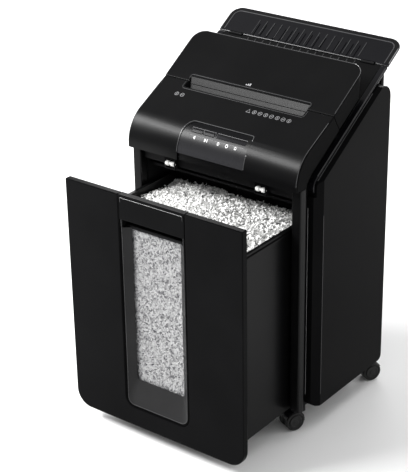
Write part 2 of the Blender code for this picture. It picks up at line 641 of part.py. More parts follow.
def make_head():
    front_s = -0.0876
    outline = nose_outline(0) + [deck(-GAP, -LID_T), deck(front_s, -LID_T), (COLUMN_D, 0.444), (COLUMN_D, NOSE_Z)]
    mesh = slab_mesh("head_cover", outline, -CORE_X, CORE_X, ALONG_X)
    nose = lambda p: any(abs(p.y - y) < 0.0001 and abs(p.z - z) < 0.0001 for y, z in nose_outline(0))
    round_edges(mesh, 0.003, 3, lambda a, b: abs(a.x - b.x) < 0.001 and nose(a) and nose(b))
    cover = place("head_cover", mesh, SHELL)
    solid = 0.030
    below = -LID_T - 0.012
    hollow = nose_outline(SHELL_T, solid)
    hollow[0] = (NOSE_Y + SHELL_T, NOSE_Z + 0.003)
    hollow += [deck(-solid, below), deck(front_s - 0.012, below), (COLUMN_D + 0.006, NOSE_Z + 0.003)]
    wall = CORE_X - 0.0028
    boolean(cover, helper("head_hollow", slab_mesh("head_hollow", hollow, -wall, wall, ALONG_X)))
    boolean(cover, helper("head_recess", to_deck(recess_mesh())))
    passage = box_mesh("passage", (-SLOT_HALF + 0.001, SLOT_S - SLOT_W / 2, below), (SLOT_HALF - 0.001, SLOT_S + SLOT_W / 2, -RECESS_DEPTH + 0.002))
    boolean(cover, helper("head_passage", to_deck(passage)))

    def panel_face(inset, bottom):
        half = PANEL_HALF - inset
        top = PANEL_TOP_Z - inset
        left = (-half, top)
        right = (half, top)
        points = [(-half, bottom), (half, bottom)]
        points += fillet((half, bottom), right, left, PANEL_CORNER_R - inset, 5)
        points += fillet(right, left, (-half, bottom), PANEL_CORNER_R - inset, 5)
        return points

    def nose_block(name, inset):
        points = nose_outline(inset) + [(0.2, SEAM_Z), (0.2, NOSE_Z - 0.05), (NOSE_Y + inset, NOSE_Z - 0.05)]
        return helper(name, slab_mesh(name, points, -0.09, 0.09, ALONG_X))

    pocket = helper("panel_pocket", slab_mesh("panel_pocket", panel_face(0, NOSE_Z - 0.02), -0.04, 0.06, ALONG_Y))
    boolean(pocket, nose_block("pocket_floor", PANEL_DEPTH))
    boolean(cover, pocket)
    insert = place("control_panel", slab_mesh("control_panel", panel_face(0.0004, PANEL_BOTTOM_Z), -0.04, 0.06, ALONG_Y), GLOSS)
    boolean(insert, nose_block("panel_surface", 0.0006), "INTERSECT")
    boolean(insert, nose_block("panel_back", PANEL_DEPTH - GAP))

    rise = math.asin((BUTTON_Z - NOSE_CENTRE_Z) / NOSE_R)
    tilt = math.pi / 2 - rise
    centre = (0, NOSE_CENTRE_Y - NOSE_R * math.cos(rise), BUTTON_Z)
    turn = Matrix.Translation(centre) @ Matrix.Rotation(tilt, 4, "X")

    def pad(name, x, half_w, low, high, extra=0.0):
        mesh = box_mesh(name, (x - half_w - extra, -BUTTON_H / 2 - extra, low), (x + half_w + extra, BUTTON_H / 2 + extra, high))
        mesh.transform(turn)
        return mesh

    pads = (("reverse_button", -0.0365, BUTTON_W / 2), ("start_button", -0.0140, BUTTON_W / 2))
    for name, x, half_w in pads:
        button = place(name, pad(name, x, half_w, -0.0085, -0.0001), GLOSS, (x, centre[1], centre[2]))
        bevel(button, 0.0004, 1)
        opening = helper(name + "_opening", pad(name, x, half_w, -0.02, 0.01, 0.0004))
        boolean(insert, opening)
        boolean(cover, opening)
    x, half_w = 0.0295, 0.0275
    place("indicator_strip", pad("indicator_strip", x, half_w, -0.0024, -0.0003), LENS)
    boolean(insert, helper("strip_opening", pad("strip", x, half_w, -0.02, 0.01, GAP)))

    for side, name in sides("catch"):
        x = side * CATCH_X
        lo, hi = x - 0.0105, x + 0.0105
        front = COLUMN_D - BEAM_T
        bracket = place(name + "_bracket", box_mesh(name, (lo, front - 0.0078, CATCH_Z - 0.009), (hi, front - GAP, CATCH_Z + 0.009)), INNER)
        inside = box_mesh(name, (lo + 0.0012, front - 0.02, CATCH_Z - 0.0080), (hi - 0.0012, front - 0.0010, CATCH_Z + 0.0080))
        boolean(bracket, helper(name + "_inside", inside))
        where = (x, front - 0.0054, CATCH_Z)
        pin = rod_mesh(name, 0.0014, lo - 0.01, hi + 0.01, where[1:], 12)
        boolean(bracket, helper(name + "_pin_hole", pin))
        half = [(0.0011, 0.0103), (0.0011, 0.0088), (CATCH_R - 0.001, 0.0088), (CATCH_R, 0.0072), (CATCH_R, 0.0028), (0.0026, 0.0012)]
        profile = [(0, 0.0103)] + half + [(radius, -along) for radius, along in reversed(half)] + [(0, -0.0103)]
        place(name + "_roller", turned_mesh(name, profile, where, (1, 0, 0), 14), WHITE, where)


def gear_outline(teeth, first):
    """A spur gear's outline with straight-sided teeth, the first tooth at the given angle in degrees."""
    pitch = MODULE * teeth / 2
    root = pitch - 1.25 * MODULE
    tip = pitch + 0.85 * MODULE
    quarter = math.pi / (2 * teeth)
    points = []
    for i in range(teeth):
        middle = math.radians(first) + 2 * math.pi * i / teeth
        for radius, share in ((root, -1.2), (tip, -0.42), (tip, 0.42), (root, 1.2)):
            angle = middle + quarter * share
            points.append((radius * math.cos(angle), radius * math.sin(angle)))
    return points


def make_gear(name, teeth, first, y, bore):
    outer = -END_PLATE_X - END_PLATE_T - 0.0008
    outline = [(y + u, SHAFT_Z + v) for u, v in gear_outline(teeth, first)]
    origin = (outer - GEAR_T / 2, y, SHAFT_Z)
    gear = place(name, slab_mesh(name, outline, outer - GEAR_T, outer, ALONG_X), ZINC, origin)
    if bore:
        boolean(gear, helper(name + "_bore", rod_mesh(name, bore, outer - 0.02, outer + 0.01, (y, SHAFT_Z), 20)))
    return gear


def make_drive():
    inner = END_PLATE_X - GAP
    for name, y, shift in (("cutter_front", SHAFT_Y, 0.0), ("cutter_rear", REAR_SHAFT_Y, DISC_PITCH / 2)):
        profile = [(0, 0.1280), (SHAFT_R, 0.1280), (SHAFT_R, inner), (SPACER_R, inner)]
        for i in reversed(range(DISC_COUNT)):
            x = (i - (DISC_COUNT - 1) / 2) * DISC_PITCH + shift
            profile += [(SPACER_R, x + DISC_T / 2), (DISC_R, x + DISC_T / 2), (DISC_R, x - DISC_T / 2), (SPACER_R, x - DISC_T / 2)]
        profile += [(SPACER_R, -inner), (SHAFT_R, -inner), (SHAFT_R, -0.1400), (0, -0.1400)]
        place(name, turned_mesh(name, profile, (0, y, SHAFT_Z), (1, 0, 0), 12), STEEL, (0, y, SHAFT_Z))

    plate_low = HEAD_BASE_Z + HEAD_BASE_T + GAP
    for side, name in sides("end_plate"):
        rear = 0.198 if side < 0 else 0.142
        outline = [(0.062, plate_low), (rear, plate_low), (rear, SHAFT_Z + 0.030), (0.112, SHAFT_Z + 0.030), (0.062, SHAFT_Z + 0.003)]
        lo, hi = span(side, END_PLATE_X, END_PLATE_X + END_PLATE_T)
        plate = place(name, slab_mesh(name, outline, lo, hi, ALONG_X), ZINC)
        holes = [(SHAFT_Y, SHAFT_R), (REAR_SHAFT_Y, SHAFT_R)]
        if side < 0:
            holes += [(MOTOR_Y, 0.003)]
            pin = rod_mesh(name, 0.004, -0.1330, lo + 0.001, (IDLER_Y, SHAFT_Z))
            boolean(plate, helper(name + "_idler_pin", pin), "UNION")
        for i, (y, radius) in enumerate(holes):
            bore = rod_mesh(name, radius + GAP, lo - 0.01, hi + 0.01, (y, SHAFT_Z), 18)
            boolean(plate, helper("%s_bore_%d" % (name, i), bore))

    make_gear("gear_front", CUTTER_TEETH, 0, SHAFT_Y, SHAFT_R + GAP)
    make_gear("gear_rear", CUTTER_TEETH, 9, REAR_SHAFT_Y, SHAFT_R + GAP)
    make_gear("gear_idler", CUTTER_TEETH, 0, IDLER_Y, 0.004 + GAP)
    motor_x = -END_PLATE_X + GAP
    pinion = make_gear("motor_pinion", PINION_TEETH, 18, MOTOR_Y, 0)
    shaft = rod_mesh("motor_shaft", 0.003, -0.1340, motor_x - 0.0001, (MOTOR_Y, SHAFT_Z))
    boolean(pinion, helper("motor_shaft", shaft), "UNION")
    end = motor_x + MOTOR_L
    profile = [(0, end), (0.008, end), (0.008, end - 0.006), (MOTOR_R - 0.004, end - 0.006), (MOTOR_R, end - 0.010)]
    profile += [(MOTOR_R, motor_x), (0, motor_x)]
    place("motor", turned_mesh("motor", profile, (0, MOTOR_Y, SHAFT_Z), (1, 0, 0), 24), STEEL)

    y, z = deck(FEED_S, -TRAY_DEPTH - FEED_R + 0.003)
    half = COLUMN_X + FIT - 0.0005
    profile = [(0, half), (0.004, half), (0.004, 0.060)]
    for outer, inner in ((0.060, 0.030), (-0.030, -0.060)):
        profile += [(FEED_R - 0.001, outer), (FEED_R, outer - 0.001), (FEED_R, inner + 0.001), (FEED_R - 0.001, inner)]
        profile += [(0.004, inner)] + ([(0.004, -0.030)] if outer > 0 else [])
    profile += [(0.004, -half), (0, -half)]
    place("feed_roller", turned_mesh("feed_roller", profile, (0, y, z), (1, 0, 0), 20), RUBBER, (0, y, z))

    top = HEAD_BASE_Z + HEAD_BASE_T + GAP
    place("control_board", box_mesh("control_board", (0.030, 0.150, top), (0.115, 0.220, top + 0.0016)), BOARD)


def front_outline(inset):
    """(x, z) outline of the drawer front with its open slot for the window and handle, a given wall inside."""
    x = FRONT_W / 2 - inset
    low = FRONT_BOTTOM + inset
    top = FRONT_TOP - inset
    slot = CUT_HALF + inset
    floor = CUT_BOTTOM - inset
    points = [(-x, top)]
    points += fillet((-x, top), (-x, low), (x, low), FRONT_CORNER_R - inset, 7)
    points += fillet((-x, low), (x, low), (x, top), FRONT_CORNER_R - inset, 7)
    points += [(x, top), (slot, top)]
    points += fillet((slot, top), (slot, floor), (-slot, floor), CUT_R + inset, 5)
    points += fillet((slot, floor), (-slot, floor), (-slot, top), CUT_R + inset, 5)
    return points + [(-slot, top)]


def make_drawer():
    back = FRONT_Y + FRONT_T
    panel = place("front_panel", slab_mesh("front_panel", front_outline(0), FRONT_Y, back, ALONG_Y), SHELL)
    bevel(panel, 0.0015, 2)
    hollow = slab_mesh("front_hollow", front_outline(WALL), FRONT_Y + WALL, back + 0.01, ALONG_Y)
    boolean(panel, helper("front_hollow", hollow))

    half = CUT_HALF - GAP
    bar_back = FRONT_Y + HANDLE_T
    bar = place("handle_bar", box_mesh("handle_bar", (-half, FRONT_Y, HANDLE_BOTTOM), (half, bar_back, HANDLE_TOP)), SHELL)
    bevel(bar, 0.0008, 2)

    pocket_back = FRONT_Y + POCKET_DEPTH
    floor = WINDOW_TOP + 0.0010
    x = half - 0.0025
    pocket = place("handle_pocket", box_mesh("handle_pocket", (-x, bar_back + GAP, floor), (x, pocket_back, POCKET_TOP)), INNER)
    bevel(pocket, 0.002, 2)
    inside = box_mesh("pocket_inside", (-x + 0.0018, bar_back - 0.01, floor + 0.0018), (x - 0.0018, pocket_back - 0.0018, POCKET_TOP - 0.0018))
    boolean(pocket, helper("pocket_inside", inside))

    lap = BEZEL_T * 0.75
    front = window_path(half - lap, CUT_BOTTOM + GAP + lap, WINDOW_TOP, CUT_R - GAP - lap)
    rear = window_path(WINDOW_HALF, WINDOW_BOTTOM, WINDOW_TOP, 0.004)
    bm = bmesh.new()
    rows = []
    for y, path in ((FRONT_Y + 0.0004, front), (FRONT_Y + WINDOW_DEPTH, rear)):
        rows.append([bm.verts.new((x, y, z)) for x, z in path])
    for i in range(len(front) - 1):
        bm.faces.new((rows[0][i], rows[0][i + 1], rows[1][i + 1], rows[1][i]))
    mesh = bpy.data.meshes.new("window_bezel")
    bm.to_mesh(mesh)
    bm.free()
    bezel = place("window_bezel", mesh, SHELL)
    solid = bezel.modifiers.new("Solidify", "SOLIDIFY")
    solid.thickness = BEZEL_T
    solid.offset = -1.0

    pane_y = FRONT_Y + WINDOW_DEPTH + BEZEL_T + GAP
    pane = box_mesh("window_pane", (-WINDOW_HALF - 0.0025, pane_y, WINDOW_BOTTOM - 0.0015), (WINDOW_HALF + 0.0025, pane_y + PANE_T, WINDOW_TOP - GAP))
    place("window_pane", pane, CLEAR)

    x = BIN_W / 2
    rear_y = BIN_Y + BIN_L
    upright = lambda a, b: abs(a.x - b.x) < 0.001 and abs(a.y - b.y) < 0.001
    tub = round_edges(box_mesh("bin_body", (-x, BIN_Y, BIN_BOTTOM), (x, rear_y, BIN_TOP)), 0.008, 3, upright)
    tub = place("bin_body", tub, SHELL)
    rim = box_mesh("bin_rim", (-x - RIM_OUT, BIN_Y + 0.012, BIN_TOP - RIM_H), (x + RIM_OUT, rear_y + RIM_OUT, BIN_TOP))
    rim = round_edges(rim, 0.006, 3, upright)
    boolean(tub, helper("bin_rim", rim), "UNION")
    inside = box_mesh("bin_inside", (-x + WALL, BIN_Y + WALL, BIN_BOTTOM + WALL), (x - WALL, rear_y - WALL, BIN_TOP + 0.01))
    boolean(tub, helper("bin_inside", round_edges(inside, 0.0055, 3, upright)))
    view = box_mesh("bin_window", (-WINDOW_HALF - 0.005, BIN_Y - 0.01, WINDOW_BOTTOM - 0.008), (WINDOW_HALF + 0.005, BIN_Y + WALL + 0.001, BIN_TOP + 0.01))
    boolean(tub, helper("bin_window", view))
    heap = place("paper_shreds", heap_mesh(), PAPER)
    lo = Vector((-x + WALL + FIT, BIN_Y + WALL + FIT, BIN_BOTTOM + WALL + GAP))
    hi = Vector((x - WALL - FIT, rear_y - WALL - FIT, BIN_TOP + 0.05))
    bounds = helper("heap_bounds", round_edges(box_mesh("heap_bounds", lo, hi), 0.0055 - FIT, 3, upright))
    wall = Vector((HEAP_WALL, HEAP_WALL, 0))
    inside = box_mesh("heap_inside", lo + wall - Vector((0, 0, 0.01)), (hi.x - wall.x, hi.y - wall.y, 0.3423))
    boolean(bounds, helper("heap_inside", inside))
    boolean(heap, bounds, "INTERSECT")


def window_path(half, low, top, radius):
    """(x, z) points down one side of the window, round the bottom and up the other."""
    points = [(-half, top)]
    points += fillet((-half, top), (-half, low), (half, low), radius, 4)
    points += fillet((-half, low), (half, low), (half, top), radius, 4)
    return points + [(half, top)]


def heap_mesh():
    """The shredded paper: it fills the bin and is domed on top."""
    across, along = 14, 11
    x0, x1 = -BIN_W / 2, BIN_W / 2
    y0, y1 = BIN_Y, BIN_Y + BIN_L
    bm = bmesh.new()
    bmesh.ops.create_grid(bm, x_segments=across, y_segments=along, size=0.5)
    top = list(bm.verts)
    made = bmesh.ops.extrude_face_region(bm, geom=bm.faces[:])
    base = [item for item in made["geom"] if isinstance(item, bmesh.types.BMVert)]
    bmesh.ops.translate(bm, verts=base, vec=(0, 0, -1))
    for vert in top:
        u, v = vert.co.x * 2, vert.co.y * 2
        lump = math.sin(5.1 * u + 1.3) * math.cos(4.3 * v - 0.6) + 0.6 * math.sin(9.7 * u - 7.9 * v)
        dome = (1 - u * u) * (1 - 0.55 * (v + 0.35) ** 2)
        vert.co.z = 0.3520 + HEAP_RISE * dome + 0.0022 * lump
    for vert in base:
        vert.co.z = BIN_BOTTOM
    for vert in bm.verts:
        vert.co.x = x0 + (vert.co.x + 0.5) * (x1 - x0)
        vert.co.y = y0 + (vert.co.y + 0.5) * (y1 - y0)
    return mesh_from(bm, "paper_shreds")


def make_casters():
    for side, hand in ((1, "right"), (-1, "left")):
        for end, y, turn in (("front", FRONT_CASTER_Y, FRONT_CASTER_TURN), ("rear", REAR_CASTER_Y, REAR_CASTER_TURN)):
            make_caster("%s_%s" % (end, hand), (side * CASTER_X, y), side * turn)


def make_caster(name, pivot, turn):
    """A twin-wheel caster: its wheels trail along -Y before it is turned about the upright pivot."""
    swing = Matrix.Translation((*pivot, 0)) @ Matrix.Rotation(turn, 4, "Z")
    axle = (-CASTER_TRAIL, WHEEL_R)
    top = BASE_Z - GAP

    def put(mesh):
        mesh.transform(swing)
        return mesh

    outline = arc(axle, FENDER_R, -12, 158, 10) + arc(axle, WHEEL_R + 0.0005, 158, -12, 10)
    hood = slab_mesh(name, outline, -FENDER_HALF, FENDER_HALF, ALONG_X)
    hood = place("caster_hood_" + name, put(hood), GLOSS, (*pivot, 0))
    outline = arc(axle, FENDER_R - 0.0006, 5, 150, 8) + arc(axle, 0.0055, 200, 345, 5)
    web = slab_mesh(name, outline, -WEB_HALF, WEB_HALF, ALONG_X)
    boolean(hood, helper("web_" + name, put(web)), "UNION")
    boss = [(0, top), (0.0060, top), (0.0060, WHEEL_R + 0.0105), (0, WHEEL_R + 0.0105)]
    boolean(hood, helper("boss_" + name, put(turned_mesh(name, boss, (0, 0, 0), (0, 0, 1), 16))), "UNION")
    stem = [(0, top + 0.0155), (STEM_R, top + 0.0155), (STEM_R, top - 0.003), (0, top - 0.003)]
    boolean(hood, helper("stem_" + name, put(turned_mesh(name, stem, (0, 0, 0), (0, 0, 1), 12))), "UNION")
    hole = rod_mesh(name, 0.0026, -0.02, 0.02, axle, 16)
    boolean(hood, helper("axle_hole_" + name, put(hole)))

    inner = WEB_HALF + 0.0004
    half = [(0.0060, WHEEL_HALF), (0.0070, WHEEL_HALF - 0.0012), (WHEEL_R - 0.0035, WHEEL_HALF - 0.0012)]
    half += [(WHEEL_R - 0.0025, WHEEL_HALF), (WHEEL_R - 0.001, WHEEL_HALF), (WHEEL_R, WHEEL_HALF - 0.001)]
    half += [(WHEEL_R, inner + 0.001), (WHEEL_R - 0.001, inner), (0.0023, inner)]
    profile = [(0, WHEEL_HALF)] + half + [(radius, -along) for radius, along in reversed(half)] + [(0, -WHEEL_HALF)]
    wheel = turned_mesh(name, profile, (0, *axle), (1, 0, 0), 20)
    origin = swing @ Vector((0, *axle))
    place("caster_wheel_" + name, put(wheel), RUBBER, origin)


make_cabinet()
make_tray()
make_lid()
make_head()
make_drive()
make_drawer()
make_casters()
bpy.context.view_layer.update()
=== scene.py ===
"""Looks of the paper shredder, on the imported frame. Metres, +X right, +Y back, +Z up."""

import json
import math
import random

import bmesh
import bpy
from mathutils import Matrix, Vector
from mathutils.bvhtree import BVHTree


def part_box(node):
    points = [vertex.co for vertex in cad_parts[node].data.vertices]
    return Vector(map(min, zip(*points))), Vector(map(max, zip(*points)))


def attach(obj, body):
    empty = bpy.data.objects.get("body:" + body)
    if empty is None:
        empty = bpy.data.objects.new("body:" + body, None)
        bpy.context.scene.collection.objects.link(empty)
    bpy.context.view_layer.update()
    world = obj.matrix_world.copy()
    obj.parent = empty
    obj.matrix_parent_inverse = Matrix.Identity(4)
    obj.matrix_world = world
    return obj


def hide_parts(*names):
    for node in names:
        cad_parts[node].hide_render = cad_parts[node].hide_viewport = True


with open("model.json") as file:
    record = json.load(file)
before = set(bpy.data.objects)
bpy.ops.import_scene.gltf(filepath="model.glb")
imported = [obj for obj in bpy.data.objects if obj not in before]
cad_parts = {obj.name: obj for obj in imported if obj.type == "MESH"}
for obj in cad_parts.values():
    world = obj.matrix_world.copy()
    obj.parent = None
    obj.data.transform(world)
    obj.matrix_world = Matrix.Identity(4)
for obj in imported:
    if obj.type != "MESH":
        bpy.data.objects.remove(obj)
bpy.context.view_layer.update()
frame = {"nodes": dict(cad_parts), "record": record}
NODES = frame["nodes"]
random.seed(7)

BACK = Vector((0, 1, 0))
FORWARD = Vector((0, -1, 0))
UP = Vector((0, 0, 1))
DOWN = Vector((0, 0, -1))
HANDS = (("left", -1), ("right", 1))

# The head's sloping deck: behind the lid seam at one slope, the nose before it at another
DECK_SLOPE = math.radians(31.8)
NOSE_SLOPE = math.radians(27.0)
SEAM = Vector((0, 0.02258, 0.530))

# Rays onto the CAD start well outside the object
ABOVE = 0.9
BEFORE = -0.4
ASIDE = 0.4

# Printed signs: how far they stand out, and how deep they reach
PRINT_LIFT = 0.00018
PRINT_DEPTH = 0.0003

# The panel's cut-out for window and handle
CUT_HALF = 0.0646

# Camera, fitted to the photograph's straight edges
CAMERA_AZIMUTH = math.radians(37.76)
CAMERA_ELEVATION = math.radians(25.60)
CAMERA_ROLL = math.radians(-1.01)
CAMERA_PLACE = (1.3488, -1.8336, 1.3836)
CAMERA_LENS = 117.48


# ---------------------------------------------------------------- camera and stage


def make_camera():
    level = math.cos(CAMERA_ELEVATION)
    ahead = Vector(
        (
            -math.sin(CAMERA_AZIMUTH) * level,
            math.cos(CAMERA_AZIMUTH) * level,
            -math.sin(CAMERA_ELEVATION),
        )
    )
    right = Vector((math.cos(CAMERA_AZIMUTH), math.sin(CAMERA_AZIMUTH), 0))
    up = right.cross(ahead)
    right_rolled = right * math.cos(CAMERA_ROLL) + up * math.sin(CAMERA_ROLL)
    up_rolled = up * math.cos(CAMERA_ROLL) - right * math.sin(CAMERA_ROLL)
    data = bpy.data.cameras.new("camera")
    data.sensor_fit = "VERTICAL"
    data.sensor_height = 36
    data.lens = CAMERA_LENS
    data.clip_end = 50
    camera = bpy.data.objects.new("camera", data)
    bpy.context.scene.collection.objects.link(camera)
    turn = Matrix((right_rolled, up_rolled, -ahead)).transposed().to_4x4()
    camera.matrix_world = Matrix.Translation(CAMERA_PLACE) @ turn
    bpy.context.scene.camera = camera


def area_light(name, place, aim, size, power):
    data = bpy.data.lights.new(name, "AREA")
    data.shape = "RECTANGLE"
    data.size, data.size_y = size
    data.energy = power
    light = bpy.data.objects.new(name, data)
    light.location = place
    light.rotation_euler = (Vector(aim) - Vector(place)).to_track_quat("-Z", "Y").to_euler()
    bpy.context.scene.collection.objects.link(light)


def make_stage():
    bm = bmesh.new()
    bmesh.ops.create_grid(bm, x_segments=2, y_segments=2, size=9)
    mesh = bpy.data.meshes.new("floor")
    bm.to_mesh(mesh)
    bm.free()
    floor = bpy.data.objects.new("floor", mesh)
    floor.location = (0, 0, -0.0005)
    bpy.context.scene.collection.objects.link(floor)
    mat = bpy.data.materials.new("floor_paint")
    mat.use_nodes = True
    shader = mat.node_tree.nodes["Principled BSDF"]
    shader.inputs["Base Color"].default_value = (0.90, 0.90, 0.90, 1)
    shader.inputs["Roughness"].default_value = 0.95
    shader.inputs["Specular IOR Level"].default_value = 0.0
    mesh.materials.append(mat)

    world = bpy.data.worlds.new("studio")
    world.use_nodes = True
    background = world.node_tree.nodes["Background"]
    background.inputs["Color"].default_value = (1, 1, 1, 1)
    background.inputs["Strength"].default_value = 0.60
    bpy.context.scene.world = world

    area_light("key", (-1.55, -1.42, 2.15), (0, 0, 0.45), (1.8, 0.6), 150)
    area_light("top", (0.5, 1.3, 3.0), (0, 0, 0.30), (1.6, 1.6), 26)
    area_light("rim", (2.4, 1.6, 1.5), (0, 0, 0.35), (0.7, 1.8), 14)
    area_light("back", (-1.6, 2.6, 1.6), (0, 0, 0.35), (1.6, 1.0), 30)
    bpy.context.scene.view_settings.view_transform = "Standard"


# ---------------------------------------------------------------- materials


class Look:
    """A small helper over a material's node tree."""

    def __init__(self, name, **values):
        self.mat = bpy.data.materials.new(name)
        self.mat.use_nodes = True
        self.tree = self.mat.node_tree
        self.shader = self.tree.nodes["Principled BSDF"]
        self.texture = self.tree.nodes.new("ShaderNodeTexCoord")
        self.coord = self.texture.outputs["Object"]
        for key, value in values.items():
            self.shader.inputs[key.replace("_", " ")].default_value = value

    def node(self, kind, **values):
        node = self.tree.nodes.new(kind)
        for key, value in values.items():
            setattr(node, key, value)
        return node

    def link(self, out, into):
        self.tree.links.new(out, into)

    def feed(self, out, key):
        """Drives a socket of the shader."""
        self.link(out, self.shader.inputs[key])

    def noise(self, scale, detail=3.0, roughness=0.5, stretch=None):
        noise = self.node("ShaderNodeTexNoise")
        noise.inputs["Scale"].default_value = scale
        noise.inputs["Detail"].default_value = detail
        noise.inputs["Roughness"].default_value = roughness
        source = self.coord
        if stretch:
            mapping = self.node("ShaderNodeMapping")
            mapping.inputs["Scale"].default_value = stretch
            self.link(source, mapping.inputs["Vector"])
            source = mapping.outputs["Vector"]
        self.link(source, noise.inputs["Vector"])
        return noise.outputs["Fac"]

    def ramp(self, source, low, high, start=0.3, end=0.7):
        ramp = self.node("ShaderNodeValToRGB")
        ramp.color_ramp.elements[0].position = start
        ramp.color_ramp.elements[1].position = end
        ramp.color_ramp.elements[0].color = (*low, 1)
        ramp.color_ramp.elements[1].color = (*high, 1)
        self.link(source, ramp.inputs["Fac"])
        return ramp.outputs["Color"]

    def spread(self, source, low, high, start=0.0, end=1.0):
        spread = self.node("ShaderNodeMapRange")
        spread.inputs["From Min"].default_value = start
        spread.inputs["From Max"].default_value = end
        spread.inputs["To Min"].default_value = low
        spread.inputs["To Max"].default_value = high
        self.link(source, spread.inputs["Value"])
        return spread.outputs["Result"]

    def bump(self, source, distance, strength=1.0):
        bump = self.node("ShaderNodeBump")
        bump.inputs["Distance"].default_value = distance
        bump.inputs["Strength"].default_value = strength
        self.link(source, bump.inputs["Height"])
        self.feed(bump.outputs["Normal"], "Normal")

    def split(self, source):
        parts = self.node("ShaderNodeSeparateXYZ")
        self.link(source, parts.inputs["Vector"])
        return parts.outputs


def grey(value, blue=0.0):
    return (value, value, value + blue)


def plastic(name, low, high, rough, grain, depth, specular=0.5):
    """Moulded plastic: fine grain, faint clouding, roughness that varies over a hand's width."""
    look = Look(name, Metallic=0.0, Specular_IOR_Level=specular)
    look.feed(look.ramp(look.noise(9.0, 4.0), low, high), "Base Color")
    look.feed(look.spread(look.noise(26.0, 5.0, 0.6), *rough), "Roughness")
    look.bump(look.noise(grain, 2.0), depth, 0.5)
    return look.mat


def panel_face_painted_highlight(name):
    """Painted highlight: dark at the buttons and lighter towards the lower edge, where the gloss
    face catches the light.
    """
    # Heights where the painted shade above gives way to the painted highlight below
    shade_above_z, highlight_below_z = 0.4820, 0.4560
    look = Look(name, Metallic=0.0, Specular_IOR_Level=0.10)
    # Painted highlight: the base colour lightens as the height falls
    height = look.spread(look.split(look.coord)["Z"], 0.0, 1.0, shade_above_z, highlight_below_z)
    cloud = look.node("ShaderNodeMath", operation="MULTIPLY_ADD")
    look.link(look.noise(22.0, 4.0), cloud.inputs[0])
    cloud.inputs[1].default_value = 0.12
    look.link(height, cloud.inputs[2])
    tone = look.ramp(cloud.outputs[0], grey(0.002, 0.0005), grey(0.022, 0.002), 0.05, 1.0)
    look.feed(tone, "Base Color")
    look.feed(look.spread(look.noise(30.0, 5.0, 0.6), 0.24, 0.32), "Roughness")
    look.bump(look.noise(900.0, 2.0), 0.00001, 0.5)
    return look.mat


def shell_look(name):
    """The head's satin plastic, with painted shade: its end faces reflect less than the show faces,
    so they read darker.
    """
    look = Look(name, Metallic=0.0)
    size = look.node("ShaderNodeMath", operation="ABSOLUTE")
    look.link(look.split(look.texture.outputs["Normal"])["X"], size.inputs[0])
    # Painted shade: less specular where the object normal points along X, on the end faces
    look.feed(look.spread(size.outputs[0], 0.085, 0.012, 0.5, 0.95), "Specular IOR Level")
    tone = look.ramp(look.noise(9.0, 4.0), grey(0.0022, 0.0002), grey(0.0034, 0.0002))
    look.feed(tone, "Base Color")
    look.feed(look.spread(look.noise(26.0, 5.0, 0.6), 0.26, 0.34), "Roughness")
    look.bump(look.noise(2600.0, 2.0), 0.00005, 0.5)
    return look.mat


def metal(name, low, high, rough, stretch):
    look = Look(name, Metallic=1.0)
    streaks = look.noise(60.0, 4.0, 0.6, stretch)
    look.feed(look.ramp(streaks, low, high), "Base Color")
    look.feed(look.spread(streaks, *rough), "Roughness")
    look.bump(streaks, 0.00005, 0.4)
    return look.mat


def paper_look(name, dark, light, ink):
    """Paper with scattered spots of print."""
    look = Look(name, Metallic=0.0, Roughness=0.85)
    tone = look.ramp(look.noise(140.0, 3.0), dark, light)
    spots = look.node("ShaderNodeTexVoronoi")
    spots.inputs["Scale"].default_value = 230.0
    look.link(look.coord, spots.inputs["Vector"])
    mask = look.ramp(spots.outputs["Color"], (ink, ink, ink * 1.03), (1, 1, 1), 0.13, 0.20)
    mix = look.node("ShaderNodeMix", data_type="RGBA", blend_type="MULTIPLY")
    mix.inputs["Factor"].default_value = 1.0
    look.link(tone, mix.inputs["A"])
    look.link(mask, mix.inputs["B"])
    look.feed(mix.outputs["Result"], "Base Color")
    look.bump(look.noise(900.0, 2.0), 0.0001, 0.4)
    return look.mat


def clear_look(name):
    look = Look(name, Metallic=0.0, Alpha=0.26)
    look.feed(look.ramp(look.noise(7.0), grey(0.10, 0.01), grey(0.16, 0.01)), "Base Color")
    look.feed(look.spread(look.noise(30.0, 4.0), 0.03, 0.09), "Roughness")
    look.mat.surface_render_method = "BLENDED"
    return look.mat


def board_look(name):
    look = Look(name, Roughness=0.35)
    green = look.ramp(look.noise(220.0, 1.0), (0.02, 0.13, 0.06), (0.04, 0.24, 0.10), 0.45, 0.55)
    look.feed(green, "Base Color")
    look.bump(look.noise(350.0, 1.0), 0.0001)
    return look.mat


